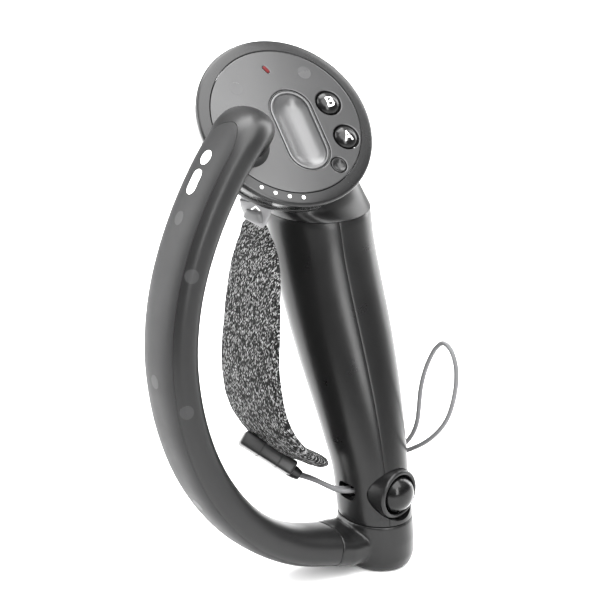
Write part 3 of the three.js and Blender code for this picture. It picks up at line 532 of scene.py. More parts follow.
# ---- Control face --------------------------------------------------------------------------------

PLATE_RADIUS = FACE_RADIUS - RIM_WIDTH - 0.15


def plate_loops():
    """Outline makers of the plate's edge and holes: each takes how far to grow the solid's hole."""
    pad = TRACKPAD

    def edge(grow):
        return superellipse(PLATE_RADIUS - grow, PLATE_RADIUS - grow, 2, turn(192))

    def hole(x, y, radius):
        return lambda grow: superellipse(radius + grow, radius + grow, 2, turn(64)) + [x, y]

    def pad_hole(grow):
        width, length = (pad[key] + 1 + 2 * grow for key in ("width", "length"))
        return slot(width, length, 40) + [pad["x"], pad["y"]]

    def led_hole(grow):
        outline = slot(LED["width"] + 0.1 + 2 * grow, LED["length"] + 0.1 + 2 * grow, 12)
        return turned(outline, LED["turn"]) + [LED["x"], LED["y"]]

    holes = [hole(*place, BUTTON_RADIUS + 0.35) for place in BUTTONS.values()]
    holes += [hole(*SYSTEM_BUTTON, SYSTEM_RADIUS + 0.25), pad_hole, led_hole]
    return [edge, *holes]


def build_plate():
    """Flat plate with softened hole edges: each loop runs down in rings, and the top is filled flat."""
    work = bmesh.new()
    rings_down = [(0.4, 0.0), (0.32, 0.0), (0.1, -0.08), (0.0, -0.3), (0.0, PLATE_FOOT)]
    tops, bottoms = [], []
    for outline in plate_loops():
        rings = []
        for grow, z in rings_down:
            points = outline(grow)
            rings.append([work.verts.new((*point, z)) for point in points])
        for upper, lower in zip(rings, rings[1:]):
            for i in range(len(upper)):
                j = (i + 1) % len(upper)
                work.faces.new((upper[i], upper[j], lower[j], lower[i]))
        for ring, edges in ((rings[0], tops), (rings[-1], bottoms)):
            edges += [work.edges.get((ring[i], ring[(i + 1) % len(ring)])) for i in range(len(ring))]
    for edges in (tops, bottoms):
        bmesh.ops.triangle_fill(work, use_beauty=True, use_dissolve=False, edges=edges)
    work.verts.index_update()
    points = [v.co.copy() for v in work.verts]
    faces = [tuple(v.index for v in f.verts) for f in work.faces]
    work.free()
    plate = new_object("face_skin", points, faces, FACE, 25)
    dressed(plate, FACE_PLASTIC, "face", "face_plate")


def build_rim():
    inner = FACE_RADIUS - RIM_WIDTH
    outer = FACE_RADIUS
    profile = [
        (inner, PLATE_FOOT), (inner, -0.25), (inner + 0.25, 0), (inner + 1.6, -0.1), (29.6, -0.32),
        (30.2, -0.55),
        (outer - 0.15, -0.95), (outer, -1.4), (outer - 0.1, -1.9), (outer - 1.2, 0.4 - RIM_DEPTH),
        (outer - 1.5, -RIM_DEPTH), (inner, -RIM_DEPTH),
    ]
    rim = lathe("rim_skin", profile, 240, FACE, smooth_angle=28)
    for angle in POSITIONS:
        place = (DOT_CIRCLE * math.cos(angle), DOT_CIRCLE * math.sin(angle))
        rim = carve(rim, drum(DOT_RADIUS + 0.1, -1.8, 1, 32, FACE, place))
    dressed(rim, RIM_PLASTIC, "rim", "face_rim")
    for i, angle in enumerate(POSITIONS):
        place = (DOT_CIRCLE * math.cos(angle), DOT_CIRCLE * math.sin(angle))
        profile = [(0, -0.08), (0.5, -0.1), (DOT_RADIUS, -0.2), (DOT_RADIUS, -1.7), (0, -1.7)]
        dot = lathe(f"dot_{i + 1}", profile, 32, FACE, place)
        dressed(dot, WHITE, "white", f"position_dot_{i + 1}")


def build_trackpad():
    """Trough whose side walls fall steeply and whose floor is a soft hollow."""
    x, y, width, length, dish = (TRACKPAD[key] for key in ("x", "y", "width", "length", "dish"))
    rings = [at_height(slot(width, length, 40), -4, x, y)]
    for inset, depth in ((0, -0.5), (0.1, -0.2), (0.35, -0.1), (0.7, -0.16)):
        rings.append(at_height(slot(width - 2 * inset, length - 2 * inset, 40), depth, x, y))
    reach = width / 2 - 0.02
    for t in np.linspace(0.12, 1, 26):
        inset = reach * t
        depth = -0.1 - (dish + 0.7) * (1 - (1 - t) ** 2.5)
        rings.append(at_height(slot(width - 2 * inset, length - 2 * inset, 40), depth, x, y))
    pad = loft("trackpad_skin", rings, place=FACE)
    dressed(pad, PAD_PLASTIC, "face", "trackpad")
    edges = []
    for grow, z in ((0.9, PLATE_FOOT), (0.9, -0.5), (0.8, -0.42), (0.4, -0.42), (0.3, -0.5),
                    (0.3, PLATE_FOOT)):
        edges.append(at_height(slot(width + grow, length + grow, 40), z, x, y))
    trim = loft("trackpad_edge", edges, hollow=True, place=FACE)
    dressed(trim, TRIM, "gloss", "trackpad_trim")


def projected(name, source, target, direction, lift):
    """A flat mesh laid onto the target's surface along a direction, raised by lift millimetres."""
    graph = bpy.context.evaluated_depsgraph_get()
    tree = BVHTree.FromObject(target, graph)
    inverse = target.matrix_world.inverted()
    for vertex in source.data.vertices:
        start = inverse @ (vertex.co - direction * mm(40))
        hit = tree.ray_cast(start, direction, mm(80))[0]
        if hit is not None:
            vertex.co = target.matrix_world @ hit - direction * mm(lift)
    source.name = name
    return smoothed(source, 60)


def arc(x, y, radius, start, stop, steps=6):
    angles = np.linspace(math.radians(start), math.radians(stop), steps)
    return [(x + radius * math.cos(angle), y + radius * math.sin(angle)) for angle in angles]


# Pen strokes of the two letters, about their middles
LETTER_STROKES = {
    "a": [[(-1.2, -1.5), (0, 1.5), (1.2, -1.5)], [(-0.75, -0.55), (0.75, -0.55)]],
    "b": [[(-0.9, -1.5), (-0.9, 1.5), *arc(0.2, 0.78, 0.72, 90, -90), (-0.9, 0.06)],
          [(0.2, 0.06), *arc(0.35, -0.72, 0.78, 90, -90), (-0.9, -1.5)]],
}
STROKE_WIDTH = 0.6


def letter_outlines(strokes):
    """Short round-ended slots along each stroke, with their middles."""
    outlines = []
    for stroke in strokes:
        for (x0, y0), (x1, y1) in zip(stroke, stroke[1:]):
            length = math.hypot(x1 - x0, y1 - y0)
            angle = math.atan2(y1 - y0, x1 - x0) - math.pi / 2
            outline = turned(slot(STROKE_WIDTH, length + STROKE_WIDTH, 10), angle)
            outlines.append((outline, (x0 + x1) / 2, (y0 + y1) / 2))
    return outlines


INK = 0.05                          # how far printed marks stand out of a surface


def build_buttons():
    crown = [(0.9, 1.64), (1.8, 1.45), (2.7, 1.05), (3.4, 0.55), (3.9, 0.0)]
    for key, place in BUTTONS.items():
        profile = [(0, 1.7), *crown, (4.12, -0.45), (BUTTON_RADIUS, -0.9), (BUTTON_RADIUS, -2.2), (2.4, -2.2),
                   (2.4, BUTTON_FOOT), (0, BUTTON_FOOT)]
        body = f"{key}_key"
        dome = lathe(f"key_{key}", profile, 96, FACE, place)
        spot = FACE @ Matrix.Translation((place[0] - 0.25, place[1] - 0.25, 2))
        sign = decal(f"letter_{key}", letter_outlines(LETTER_STROKES[key]), dome, spot, INK, 0.1)
        dressed(dome, GLOSS, "gloss", f"button_{key}", body=body)
        dressed(sign, WHITE, "white", body=body)
    profile = [(0, -0.95), (0.8, -0.88), (1.5, -0.62), (2.05, -0.22), (2.3, -0.02), (2.5, -0.06),
               (SYSTEM_RADIUS, -0.3), (SYSTEM_RADIUS, -2.2), (1.2, -2.2), (1.2, BUTTON_FOOT),
               (0, BUTTON_FOOT)]
    dimple = lathe("system_dimple", profile, 72, FACE, SYSTEM_BUTTON)
    dressed(dimple, RIM_PLASTIC, "rim", "system_button", body="system_key")


def build_face_marks():
    outline = turned(slot(LED["width"], LED["length"], 12), LED["turn"])
    layers = ((1, PLATE_FOOT), (1, 0), (0.9, 0.08), (0.6, 0.13))
    rings = [at_height(outline * scale, z, LED["x"], LED["y"]) for scale, z in layers]
    dressed(loft("led_lens", rings, place=FACE), LENS, "led", "status_led")
    for i, place in enumerate(WINDOWS):
        profile = [(0, 0.02), (WINDOW_RADIUS, 0.02), (WINDOW_RADIUS, -0.1), (0, -0.1)]
        disc = lathe(f"window_disc_{i + 1}", profile, 64, FACE, place)
        dressed(disc, WINDOW, "window", f"face_window_{i + 1}")


# ---- Head, grip, pommel --------------------------------------------------------------------------


def head_outline(station, inset, angles):
    near, far = (FACE @ Vector((station[2], *p)) for p in station[:2])
    centre, half = (near + far) / 2, (far - near) / 2
    length = half.length
    oval = superellipse(station[3] - inset, length - inset, 2, angles)
    side = np.array(half.normalized())
    return np.array(centre) + oval[:, 1:2] * side + oval[:, 0:1] * np.array([1, 0, 0])


def level_oval(section, inset, angles):
    z, y, a, b = section
    oval = superellipse(a - inset, b - inset, 2, angles)
    return np.column_stack([oval[:, 0], oval[:, 1] + y, np.full(len(oval), z)])


def blended_rings(rings, count):
    """More outlines, run smoothly through the given ones."""
    shape = rings[0].shape
    middles = np.array([ring.mean(axis=0) for ring in rings])
    rows = np.hstack([middles, np.array([ring.ravel() for ring in rings])])
    return [row[3:].reshape(shape) for row in smooth_path(rows, count)]


def build_head():
    angles = turn(120)
    foot = (GRIP_SECTIONS[-1][0] + 0.3, *GRIP_SECTIONS[-1][1:])
    layers = []
    for inset in (0, 1.6):
        rings = [head_outline(station, inset, angles) for station in HEAD_STATIONS]
        rings.append(level_oval(foot, inset, angles))
        layers.append(blended_rings(rings, 60))
    head = loft("head_skin", layers[0] + layers[1][::-1], hollow=True)
    opening = bevelled(block("opening", (8.4, 14, 15), (-7, 65, 144)), 1.5, 4)
    dressed(carve(head, opening), SHELL, "shell", "head_shell")


def grip_angles(section):
    """Angles round an oval, crowded at the seam, with the inset of each point: a fine groove at the seam."""
    half_width = section[2]
    seam = math.acos(SEAM_X / half_width)
    groove = [(-0.22, 0), (-0.11, 0.03), (-0.05, 0.3), (0.05, 0.3), (0.11, 0.03), (0.22, 0)]
    angles, insets = [], []
    for middle, span in ((seam, 2 * (math.pi - seam)), (-seam, 2 * seam)):
        for shift, inset in groove:
            angles.append(middle + shift / section[3])
            insets.append(inset)
        start = middle + 1.2 / section[3]
        stop = middle + span - 1.2 / section[3]
        for angle in np.linspace(start, stop, 60):
            angles.append(angle)
            insets.append(0)
    return np.array(angles), np.array(insets)


def lock_bore():
    return drum(LOCK_BORE_RADIUS, -8, 12, 96, LOCK)


def build_grip():
    rows = smooth_path([(0, s[1], s[0], s[2], s[3]) for s in GRIP_SECTIONS], 90)
    outer, inner = [], []
    for index, (_, y, z, a, b) in enumerate(rows):
        section = (z, y, a, b)
        angles, insets = grip_angles(section)
        end = 0.18 if index in (0, len(rows) - 1) else 0
        outer.append(level_oval(section, insets + end, angles))
        inner.append(level_oval(section, 1.8, angles))
    grip = loft("grip_skin", outer + inner[::-1], hollow=True, smooth_angle=40)
    hook = bevelled(block("hook", (12, 8, 5.4), (-11, 1.2, 27)), 1.9, 6)
    grip = carve(grip, hook, drum(3, -5, 5, 48, lying(12, 3, 35.6)), lock_bore())
    dressed(smoothed(grip, 38), SHELL, "shell", "grip_shell_left", "grip_shell_right")


def build_pommel():
    angles = turn(96)
    rows = [level_oval(section, 0, angles) for section in POMMEL_SECTIONS]
    base = loft("pommel_skin", rows)
    arm = [ring_section(0, 0, angles, shift=-0.15)]
    for x, shrink, drop in ((-15, 0, 0.8), (-6, 1, 1.1)):
        oval = superellipse(RING_HALF_THICKNESS - 0.4 * shrink, RING_HALF_WIDTH - shrink, RING_POWER, angles)
        height = RING_PATH[0][1] - drop - oval[:, 0]
        arm.append(np.column_stack([np.full(len(oval), x), oval[:, 1] + 1, height]))
    pommel = softened(fuse(base, loft("arm", arm)), 0.45, 12)
    mouth = [at_height(turned(slot(3.86, 9.54, 20), math.pi / 2), z, 0, -6) for z in (-1, 7.8)]
    tools = [loft("mouth", mouth)]
    for x, y, radius, depth in ((-5.5, 1.5, 1.9, 1.5), (5.5, 1.5, 1.9, 1.5), (0, 8, 2.2, 2.6)):
        tools.append(drum(radius, -1, depth, centre=(x, y)))
    dressed(carve(pommel, *tools, lock_bore()), SHELL, "shell", "pommel_housing")


# ---- Tracking ring -------------------------------------------------------------------------------

RING_WIDE = Vector((0, 1, -RING_LEAN)).normalized()


def ring_stations():
    """x, y, z, half thickness, half width, power along the ring, over the dome and down to the face."""
    stations = [(x, z * RING_LEAN, z, RING_HALF_THICKNESS, RING_HALF_WIDTH, RING_POWER) for x, z in RING_PATH]
    last, before = (Vector(s[:3]) for s in (stations[-1], stations[-2]))
    ahead = last + (last - before).normalized() * 2.1
    stations.append((*ahead, 6.6, 11.2, 2.5))
    stations.append((-38.8, 21.2, 150.4, 6.9, 10.6, 2.2))
    stations.append((-34.6, 25.4, 150, 7, 9.4, 2.0))
    for z, half_x, half_y in ((4, 7.1, 8.4), (2, 7.4, 8.5), (0.9, 8, 9.2), (0.0, 9, 10.8)):
        stations.append((*(FACE @ Vector((*ROOT_FOOT, z))), half_x, half_y, 2.0))
    return stations


def evened(rows, reach):
    """The rows averaged over their neighbours, except near the flared foot at the far end."""
    weights = np.hanning(2 * reach + 3)[1:-1]
    before = 2 * rows[0] - rows[reach:0:-1]
    after = 2 * rows[-1] - rows[-2:-reach - 2:-1]
    padded = np.vstack([before, rows, after])
    means = np.column_stack([np.convolve(column, weights / weights.sum(), "valid") for column in padded.T])
    share = np.clip((len(rows) - 12 - np.arange(len(rows))) / 12, 0, 1)[:, None]
    return rows + share * (means - rows)


RING_ROWS = smooth_path(ring_stations(), 300)
RING_ROWS = evened(RING_ROWS, 10)
RING_STEP = float(np.linalg.norm(RING_ROWS[1, :3] - RING_ROWS[0, :3]))
PATH_END = ring_stations()[len(RING_PATH) - 1][:3]
RING_LENGTH = RING_STEP * int(np.argmin(np.linalg.norm(RING_ROWS[:, :3] - PATH_END, axis=1)))
RING_ALONG = np.gradient(RING_ROWS[:, :3], axis=0)
RING_ALONG /= np.linalg.norm(RING_ALONG, axis=1)[:, None]


def ring_frame(s):
    """Middle, direction along, direction outwards and direction across, s millimetres along the ring."""
    at = np.clip(s / RING_STEP, 0, len(RING_ROWS) - 1.001)
    low, mix = int(at), at - int(at)
    row = RING_ROWS[low] * (1 - mix) + RING_ROWS[low + 1] * mix
    along = Vector(RING_ALONG[low] * (1 - mix) + RING_ALONG[low + 1] * mix).normalized()
    wide = (RING_WIDE - along * RING_WIDE.dot(along)).normalized()
    return row, along, along.cross(wide), wide


def ring_section(s, inset, angles, shift=0.0):
    row, along, outward, wide = ring_frame(s)
    unit = superellipse(1, 1, row[5], angles)
    x = unit[:, 0] * (row[3] - inset)
    y = unit[:, 1] * (row[4] - inset)
    middle = row[:3] + np.array(along) * shift
    return middle + np.outer(x, outward) + np.outer(y, wide)


COVER_TIP = RING_LENGTH + 3.4
COVER_ROUND = 9.0
COVER_ARC = 10.3                    # millimetres round the section per radian, near the cover's edge


def cover_slab(name, grow, top, bottom, start):
    """The outer cover as a closed slab, between two depths under the ring's surface, with a round end."""
    rings = []
    tip = COVER_TIP + grow
    rise = COVER_ROUND + grow
    stops = list(np.linspace(start, tip - rise, 170))
    stops += list(tip - rise + rise * np.sin(np.linspace(0.03, 1.5, 34)))
    for s in stops:
        beyond = max(0.0, (s - (tip - rise)) / rise)
        limit = (COVER_ANGLE + grow / COVER_ARC) * math.sqrt(max(1 - beyond ** 2, 0.0004))
        edge = min(0.014, limit / 4)
        spread = np.concatenate([[-limit], np.linspace(-limit + edge, limit - edge, 26), [limit]])
        depth = np.full(28, top)
        if grow == 0:
            depth[[0, -1]] = 0.14
        upper = ring_section(s, depth, spread)
        lower = ring_section(s, bottom, spread[::-1])
        rings.append(np.vstack([upper, lower]))
    return loft(name, rings, smooth_angle=40)


def surface_place(s, angle=0.0):
    """Matrix whose Z leaves the ring's surface at s and at an angle round the section."""
    _, along, outward, wide = ring_frame(s)
    point = Vector(ring_section(s, 0, np.array([angle, angle + 0.02]))[0])
    tangent = (Vector(ring_section(s, 0, np.array([angle + 0.02, angle + 0.03]))[0]) - point).normalized()
    normal = tangent.cross(along).normalized()
    if normal.dot(outward * math.cos(angle) + wide * math.sin(angle)) < 0:
        normal.negate()
    across = along.cross(normal).normalized()
    return Matrix.Translation(point) @ axes(across, along, normal).to_4x4()


def patch(name, outlines, place):
    """Flat filled outlines, each made of shrinking copies of itself about its own middle."""
    points, faces = [], []
    for outline, x, y in outlines:
        start = len(points)
        rows = [at_height(outline * scale, 0, x, y) for scale in np.linspace(1, 0.001, 6)]
        points += [tuple(point) for point in np.vstack(rows)]
        faces += [tuple(start + i for i in face) for face in grid_faces(len(rows), len(outline))]
    return new_object(name, points, faces, place, 60)


def decal(name, outlines, target, place, lift=0.03, thickness=0.12):
    """A thin closed piece that lies on the target's surface: one outline, or several with their middles."""
    if isinstance(outlines, np.ndarray):
        outlines = [(outlines, 0, 0)]
    into = -(place.to_3x3() @ Vector((0, 0, 1))).normalized()
    piece = projected(name, patch(name, outlines, place), target, into, lift)
    add_modifier(piece, "SOLIDIFY", thickness=mm(thickness), offset=-1)
    return smoothed(baked(piece), 60)


def build_ring():
    angles = turn(72, 0.01)
    rows = [ring_section(0, 0.45, angles, shift=-0.7), ring_section(0, 0.45, angles, shift=-0.02)]
    rows += [ring_section(s, 0, angles) for s in np.linspace(0, RING_STEP * (len(RING_ROWS) - 1.01), 280)]
    ring = loft("ring_body", rows)
    ring = carve(ring, cover_slab("tool", 0.12, -2, 1.5, -3))
    cover = cover_slab("ring_cover", 0, 0, 1.2, 0.3)
    circle = superellipse(2.3, 2.3, 2, turn(40))
    spots = [(0.2, 1.25), (0.4, 1.35), (0.62, 1.3), (0.83, 1.25), (0.5, -1.3), (0.75, -1.3)]
    for i, (u, angle) in enumerate(spots):
        disc = decal(f"ring_window_{i + 1}", circle, ring, surface_place(RING_LENGTH * u, angle))
        dressed(disc, RING_WINDOW, "window")
    for i, u in enumerate((0.3, 0.55, 0.84)):
        disc = decal(f"cover_window_{i + 1}", circle, cover, surface_place(RING_LENGTH * u))
        dressed(disc, RING_WINDOW, "window")
    mark = RING_LENGTH * 0.955
    dot = decal("mark_dot", superellipse(2.5, 2.5, 2, turn(48)), cover, surface_place(mark), 0.04)
    pill = decal("mark_pill", slot(4.6, 8.6, 24), cover, surface_place(mark - 8), 0.04)
    dressed(dot, WHITE, "white")
    dressed(pill, WHITE, "white", "ring_mark")
    dressed(ring, RING_SHELL, "shell", "ring_inner_shell", "ring_root")
    dressed(cover, COVER, "shell", "ring_outer_shell")


# ---- Trigger -------------------------------------------------------------------------------------

PIVOT = (54.5, 143)                 # y and z of the trigger's pin
PIN_BORE_RADIUS = 1.35
LEVER_ROUND = 3.4
TRIGGER_X = -7


def bezier(points, steps=10):
    """Points of a chain of cubic curves: a start, then two handles and an end for each."""
    start, out = points[0], [points[0]]
    for a, b, end in zip(points[1::3], points[2::3], points[3::3]):
        for t in np.linspace(0, 1, steps + 1)[1:]:
            k = 1 - t
            mix = (k ** 3, 3 * k * k * t, 3 * k * t * t, t ** 3)
            out.append(tuple(sum(m * p[i] for m, p in zip(mix, (start, a, b, end))) for i in (0, 1)))
        start = end
    return out


def extruded_across(name, outline, width):
    outline = np.array(outline)
    walls = [TRIGGER_X + side * width / 2 for side in (-1, 1)]
    return loft(name, [np.column_stack([np.full(len(outline), x), outline]) for x in walls])


def build_trigger():
    paddle = bezier([(63.4, 152), (69.5, 151), (72.5, 144), (72.3, 138), (72.3, 132), (74, 127),
                     (76.4, 123.4), (76, 121.2), (73.4, 120.8), (71.8, 122.4), (67.6, 128), (66.4, 133), (65.8, 139),
                     (65, 144), (63.6, 148), (63.4, 152)])[:-1]
    y, z = PIVOT
    upper = bezier([(y, z + LEVER_ROUND), (58, 148.5), (61, 149.5), (66, 148.5)])
    lower = bezier([(66.5, 141.5), (62.5, 141), (59, 140), (y, z - LEVER_ROUND)])
    nose = [(y - LEVER_ROUND * math.sin(a), z - LEVER_ROUND * math.cos(a))
            for a in np.linspace(0, math.pi, 14)[1:-1]]
    blade = bevelled(extruded_across("trigger_skin", paddle, 15), 1.5, 5, 30)
    lever = bevelled(extruded_across("lever", upper + lower + nose, 7), 0.5, 3, 50)
    trigger = fuse(blade, lever)
    bore = drum(PIN_BORE_RADIUS, -5, 5, 32, lying(TRIGGER_X, y, z))
    dressed(carve(trigger, bore), SHELL, "shell", "trigger", body="trigger_lever")


# ---- Strap slider, strap and cords ---------------------------------------------------------------


def arc_slab(name, inner, outer, low, high, start, stop, steps=24):
    angles = np.linspace(start, stop, steps)
    far = np.column_stack([outer * np.cos(angles), outer * np.sin(angles)])
    near = np.column_stack([inner * np.cos(angles), inner * np.sin(angles)])[::-1]
    outline = np.vstack([far, near])
    return loft(name, [at_height(outline, low), at_height(outline, high)], place=FACE)


SLIDER_RADIUS = 28.2


def slider_place(depth, radius):
    """Matrix at the slider's middle: X along the rim, Y up, Z away from the face's middle."""
    out = Vector((math.cos(SLIDER_REST), math.sin(SLIDER_REST), 0))
    side = Vector((-out.y, out.x, 0))
    basis = axes(side, Vector((0, 0, 1)), out).to_4x4()
    return FACE @ Matrix.Translation(out * radius + Vector((0, 0, depth))) @ basis


def build_slider():
    rail = arc_slab("rail_skin", 28.5, 29.4, -8.2, -6.3, math.radians(-142), math.radians(-84), 60)
    dressed(bevelled(rail, 0.3), RIM_PLASTIC, "rim", "slider_rail")
    reach = math.radians(10.5)
    slider = arc_slab("slider_skin", 26, SLIDER_RADIUS, -12.4, -6.5, SLIDER_REST - reach, SLIDER_REST + reach)
    slider = bevelled(slider, 0.5, 4)
    dressed(slider, TAB_PLASTIC, "rim", "strap_slider", body=CARRIAGE)


def uv_mapped(piece, coordinates):
    layer = piece.data.uv_layers.new(name="UVMap")
    for loop in piece.data.loops:
        layer.data[loop.index].uv = coordinates[loop.vertex_index]
    return piece


def band(name, rows, columns, power):
    """Soft strap through x, y, z, width, thickness rows; its UVs are metres across and along."""
    angles = turn(columns)
    along = np.gradient(rows[:, :3], axis=0)
    points, coordinates, run = [], [], 0.0
    for i, row in enumerate(rows):
        if i:
            run += np.linalg.norm(row[:3] - rows[i - 1, :3])
        out = np.cross(along[i], STRAP_ACROSS)
        out /= np.linalg.norm(out)
        section = superellipse(row[3] / 2, row[4] / 2, power, angles)
        points.append(row[:3] + section[:, :1] * np.array(STRAP_ACROSS) + section[:, 1:] * out)
        girth = np.concatenate([[0], np.cumsum(np.linalg.norm(np.diff(section, axis=0), axis=1))])
        coordinates += [(min(x, girth[-1] - x) / 1000, run / 1000) for x in girth]
    piece = loft(name, points)
    return uv_mapped(piece, coordinates)


def relief(piece, size, amount):
    """Soft uneven swelling of a fabric surface."""
    texture = bpy.data.textures.new(piece.name, "CLOUDS")
    texture.noise_scale = mm(size)
    add_modifier(piece, "DISPLACE", texture=texture, texture_coords="LOCAL", strength=mm(amount),
                 mid_level=0.5)
    return baked(piece)


def build_strap():
    rows = smooth_path(STRAP_SECTIONS, 150)
    ends = np.minimum(np.arange(len(rows)), np.arange(len(rows))[::-1])
    closing = np.sqrt(np.clip(1 - (1 - np.clip(ends / 5, 0, 1)) ** 2, 0.02, 1))
    rows[:, 3] *= 0.6 + 0.4 * closing
    rows[:, 4] *= closing
    strap = band("strap_knit", rows, 72, 2.5)
    strap = relief(strap, 6, 0.5)
    strap = relief(strap, 0.9, 0.22)
    smoothed(strap, 180)
    dressed(strap, KNIT, "fabric", "strap_pad", body=None)
    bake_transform(strap)
    build_tab()


def tab_place(t, lift=0.0):
    """Matrix on the tab, t of the way from the slider to the pad: X across, Y up it, Z out of its face."""
    place = slider_place(-9.5, 26.9)
    start, side = place.translation, place.to_3x3().col[0]
    end = Vector(STRAP_SECTIONS[0][:3]) + Vector((-1.2, -2, -0.6))
    up = (start - end).normalized()
    across = side.lerp(-STRAP_ACROSS, 0.7 * t * t * (3 - 2 * t))
    across = (across - up * across.dot(up)).normalized()
    out = across.cross(up)
    return Matrix.Translation(start.lerp(end, t) + out * lift) @ axes(across, up, out).to_4x4()


def build_tab():
    """Stiff tongue from under the slider to the top of the pad, with the slider's grip and arrow on it."""
    rings = []
    for t in np.linspace(0, 1, 24):
        oval = superellipse(5.5 - 1.1 * t, 1.1 - 0.2 * t, 4, turn(40))
        place = tab_place(t)
        rings.append(np.array([place @ Vector((x, 0, z)) for x, z in oval]))
    dressed(loft("strap_tab", rings), TAB_PLASTIC, "rim", "strap_web", body=CARRIAGE)
    outline = bezier([(-2.4, 1.7), (-1.4, 2), (1.4, 2), (2.4, 1.7), (3.0, 0.6), (3.4, -0.8), (3.4, -1.4),
                      (3.2, -2.3), (-3.2, -2.3), (-3.4, -1.4), (-3.4, -0.8), (-3.0, 0.6), (-2.4, 1.7)])[:-1]
    outline = np.array(outline)
    layers = ((1, -0.4), (1, 0.6), (0.95, 0.95), (0.82, 1.15), (0.5, 1.25))
    rings = [at_height(outline * scale, z) for scale, z in layers]
    button = loft("slider_button", rings, place=tab_place(0.6, 1.1))
    dressed(button, BUTTON_PLASTIC, "rim", body=CARRIAGE)
    chevron = np.array([(-1.6, -0.75), (0, 0.8), (1.6, -0.75), (1.15, -1.05), (0, 0.1), (-1.15, -1.05)])
    rings = [at_height(chevron, z) for z in (-0.1, INK)]
    arrow = loft("arrow_mark", rings, place=tab_place(0.24, 1.14))
    dressed(arrow, WHITE, "white", "slider_arrow", body=CARRIAGE)


def tube(name, route, radius, count, sides=14):
    """Round cord along a smooth route; its UVs are turns round and metres along."""
    path = smooth_path(route, count)
    along = np.gradient(path, axis=0)
    along /= np.linalg.norm(along, axis=1)[:, None]
    side = np.cross(along[0], (0.3, 1, 0.2))
    rings, coordinates, run = [], [], 0.0
    angles = turn(sides)
    for i, (point, way) in enumerate(zip(path, along)):
        run += float(np.linalg.norm(point - path[i - 1])) if i else 0.0
        side = side - way * np.dot(side, way)
        side /= np.linalg.norm(side)
        other = np.cross(way, side)
        rings.append(point + radius * (np.outer(np.cos(angles), side) + np.outer(np.sin(angles), other)))
        coordinates += [(abs((a / math.pi) - 1), run / 1000) for a in angles]
    piece = uv_mapped(loft(name, rings, smooth_angle=60), coordinates)
    return piece, [tuple(mm(*point)) for point in path], mm(run)


def build_cords():
    for i, side in enumerate((-1, 1)):
        route = [(x, y + 1.15 * side, z) for x, y, z in STRAND_ROUTE]
        strand, _, _ = tube(f"strand_{i + 1}", route, CORD_RADIUS, 60)
        dressed(strand, CORD, "cord", f"drawcord_strand_{i + 1}")
    loop, path, length = tube("cord_loop", LOOP_ROUTE, CORD_RADIUS, 200)
    dressed(loop, CORD, "cord", "drawcord_loop")


def build_guide():
    start, end = GUIDE_ROUTE
    along = (end - start).normalized()
    out = along.cross(STRAP_ACROSS).normalized()
    across = out.cross(along).normalized()
    place = Matrix.Translation((start + end) / 2) @ axes(along, across, out).to_4x4()
    length = (end - start).length
    core = bevelled(block("guide_block", (length, 9, 5.2), (0, 0, 0.6), place), 0.9, 4)
    for x in GUIDE_GROOVES:
        core = carve(core, *(block("groove", (1.1, 20, 20), (x, 0, z), place) for z in (13.3, -12.1)))
    dressed(bevelled(core, 0.15, 2), GUIDE, "gloss", "cord_guide")
    for i, x in enumerate(GUIDE_GROOVES):
        ring = bevelled(block(f"guide_band_{i + 1}", (0.9, 9.05, 5.25), (x, 0, 0.6), place), 0.3, 3)
        dressed(ring, COVER, "rim")
    throat = lathe("guide_throat", [(0, -1), (2.4, -1), (2.2, 1), (1.7, 3), (0, 3.2)], 48,
                   Matrix.Translation(end) @ along.to_track_quat("Z", "Y").to_matrix().to_4x4())
    dressed(throat, GUIDE, "gloss")


def build_lock():
    profile = rounded([(6.75, -6.2), (6.75, 0.1), (7.1, 0.55), (7.9, 0.5), (8.4, -0.1), (8.4, -6.2)], 0.25)
    ring = lathe("lock_ring", profile, 128, LOCK)
    dressed(ring, SHELL, "shell", "cord_lock_bezel")
    profile = [(0, 4), (1.6, 3.92), (3.1, 3.5), (4.4, 2.7), (5.4, 1.6), (6.0, 0.4), (6.25, -0.7), (6.3, -2.2),
               (3, -2.2), (3, -8), (0, -8)]
    knob = lathe("lock_knob", profile, 128, LOCK)
    dressed(knob, GLOSS, "gloss", "cord_lock_button", body="lock_key")


def dress_kept_nodes():
    """Metal and inner parts whose CAD shape is right keep it, with better materials."""
    groups = (
        (GOLD, "force_sensor dock_contact_1 dock_contact_2"),
        (STEEL, "switch_a switch_b switch_system trigger_pin trigger_spring haptic_motor usb_shell "
                "pommel_screw cord_lock_spring"),
        (BOARD, "main_board ring_flex_board"),
        (TRIM, "trigger_frame"),
        (CELL, "battery"),
        (GLOSS, "usb_tongue ring_sensor_1 ring_sensor_2 ring_sensor_3 ring_sensor_4"),
        (SHELL, "cord_lock_frame"),
    )
    for material, names in groups:
        for name in names.split():
            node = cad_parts[name]
            if not node.material_slots:
                node.data.materials.append(material)
            for part in node.material_slots:
                part.material = material


# ---- Studio --------------------------------------------------------------------------------------

TARGET = mm(-19.5, 17.2, 91)
CAMERA_DISTANCE = 0.9
CAMERA_AZIMUTH = math.radians(-32)
CAMERA_HEIGHT = math.radians(22)
CAMERA_LENS = 166.5


def from_target(azimuth, elevation, distance):
    """A point round the target: azimuth 0 is in front, on the user's side."""
    flat, height = distance * math.cos(elevation), distance * math.sin(elevation)
    return TARGET + Vector((flat * math.sin(azimuth), -flat * math.cos(azimuth), height))


def aim(thing, target):
    thing.rotation_euler = (target - thing.location).to_track_quat("-Z", "Y").to_euler()


def add_light(name, azimuth, elevation, distance, size, power):
    data = bpy.data.lights.new(name, "AREA")
    data.shape = "RECTANGLE"
    data.size, data.size_y = size
    data.energy = power
    lamp = bpy.data.objects.new(name, data)
    lamp.location = from_target(math.radians(azimuth), math.radians(elevation), distance)
    bpy.context.collection.objects.link(lamp)
    aim(lamp, TARGET)
    return lamp


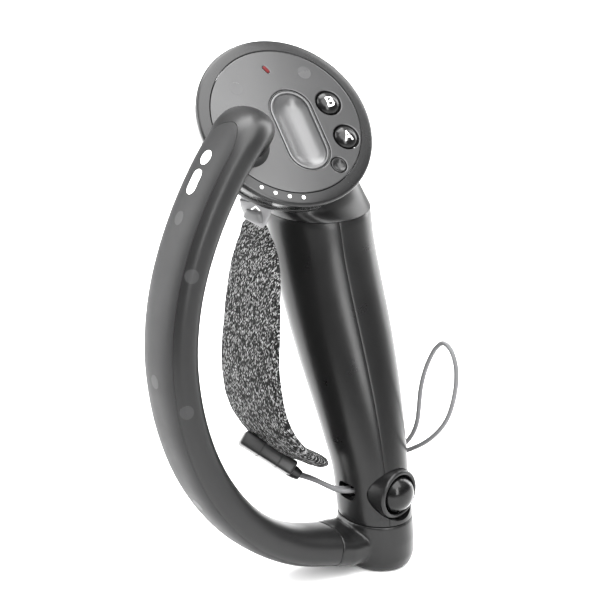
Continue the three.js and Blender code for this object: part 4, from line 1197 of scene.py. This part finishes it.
def build_sky():
    """Plain studio surround: bright overhead, dim lower down, with a pale backdrop behind the floor."""
    world = bpy.data.worlds.new("studio")
    world.use_nodes = True
    nodes, links = world.node_tree.nodes, world.node_tree.links
    place = nodes.new("ShaderNodeTexCoord")
    split = nodes.new("ShaderNodeSeparateXYZ")
    ramp = nodes.new("ShaderNodeValToRGB")
    links.new(place.outputs["Generated"], split.inputs[0])
    links.new(split.outputs[2], ramp.inputs[0])
    links.new(ramp.outputs[0], nodes["Background"].inputs["Color"])
    stops = ramp.color_ramp.elements
    for height, value in ((0.09, 0.55), (0.16, 0.12), (0.3, 0.12), (0.85, 1.0)):
        element = stops.new(height)
        element.color = (value, value, value, 1)
    stops.remove(stops[-1])
    stops.remove(stops[0])
    nodes["Background"].inputs["Strength"].default_value = 1.9
    bpy.context.scene.world = world


def build_face_panel():
    """Softbox over the left half of the control face, which leaves the right half in its own tone."""
    centre = mm(*FACE_CENTRE)
    ahead = Vector((0.491, -0.359, 0.794)).normalized()
    aside = Vector((1, 0, 0))
    aside = (aside - ahead * aside.dot(ahead)).normalized()
    lamp = add_light("face panel", 0, 0, 1, (0.46, 0.4), 5.2)
    lamp.location = centre + ahead * 0.28 - aside * 0.228
    lamp.rotation_euler = axes(aside, ahead.cross(aside), ahead).to_euler()


def build_studio():
    camera = bpy.data.objects.new("camera", bpy.data.cameras.new("camera"))
    camera.data.lens = CAMERA_LENS
    camera.data.sensor_width = 36
    camera.data.clip_start = 0.01
    camera.location = from_target(CAMERA_AZIMUTH, CAMERA_HEIGHT, CAMERA_DISTANCE)
    bpy.context.collection.objects.link(camera)
    aim(camera, TARGET)
    bpy.context.scene.camera = camera

    corners = [(-4000, -4000, 0), (4000, -4000, 0), (4000, 4000, 0), (-4000, 4000, 0)]
    floor = new_object("floor", corners, [(0, 1, 2, 3)])
    paint = Paint("pale floor")
    paint.coloured(paint.noise(3, 2), [(0.3, 0.88), (0.7, 0.9)])
    paint.set(Roughness=0.7)
    floor.data.materials.append(paint.material)

    build_sky()
    add_light("left wing", -130, 22, 0.8, (0.6, 0.8), 14)
    add_light("right wing", 100, 22, 0.8, (0.26, 0.8), 6)
    add_light("front strip", -8, 26, 0.8, (0.2, 0.55), 6)
    add_light("top panel", 170, 62, 0.8, (0.5, 0.5), 9)
    build_face_panel()
    bpy.context.scene.view_settings.view_transform = "Standard"


build_plate()
build_rim()
build_trackpad()
build_buttons()
build_face_marks()
build_head()
build_grip()
build_pommel()
build_ring()
build_trigger()
build_slider()
build_strap()
build_cords()
build_guide()
build_lock()
dress_kept_nodes()
build_studio()
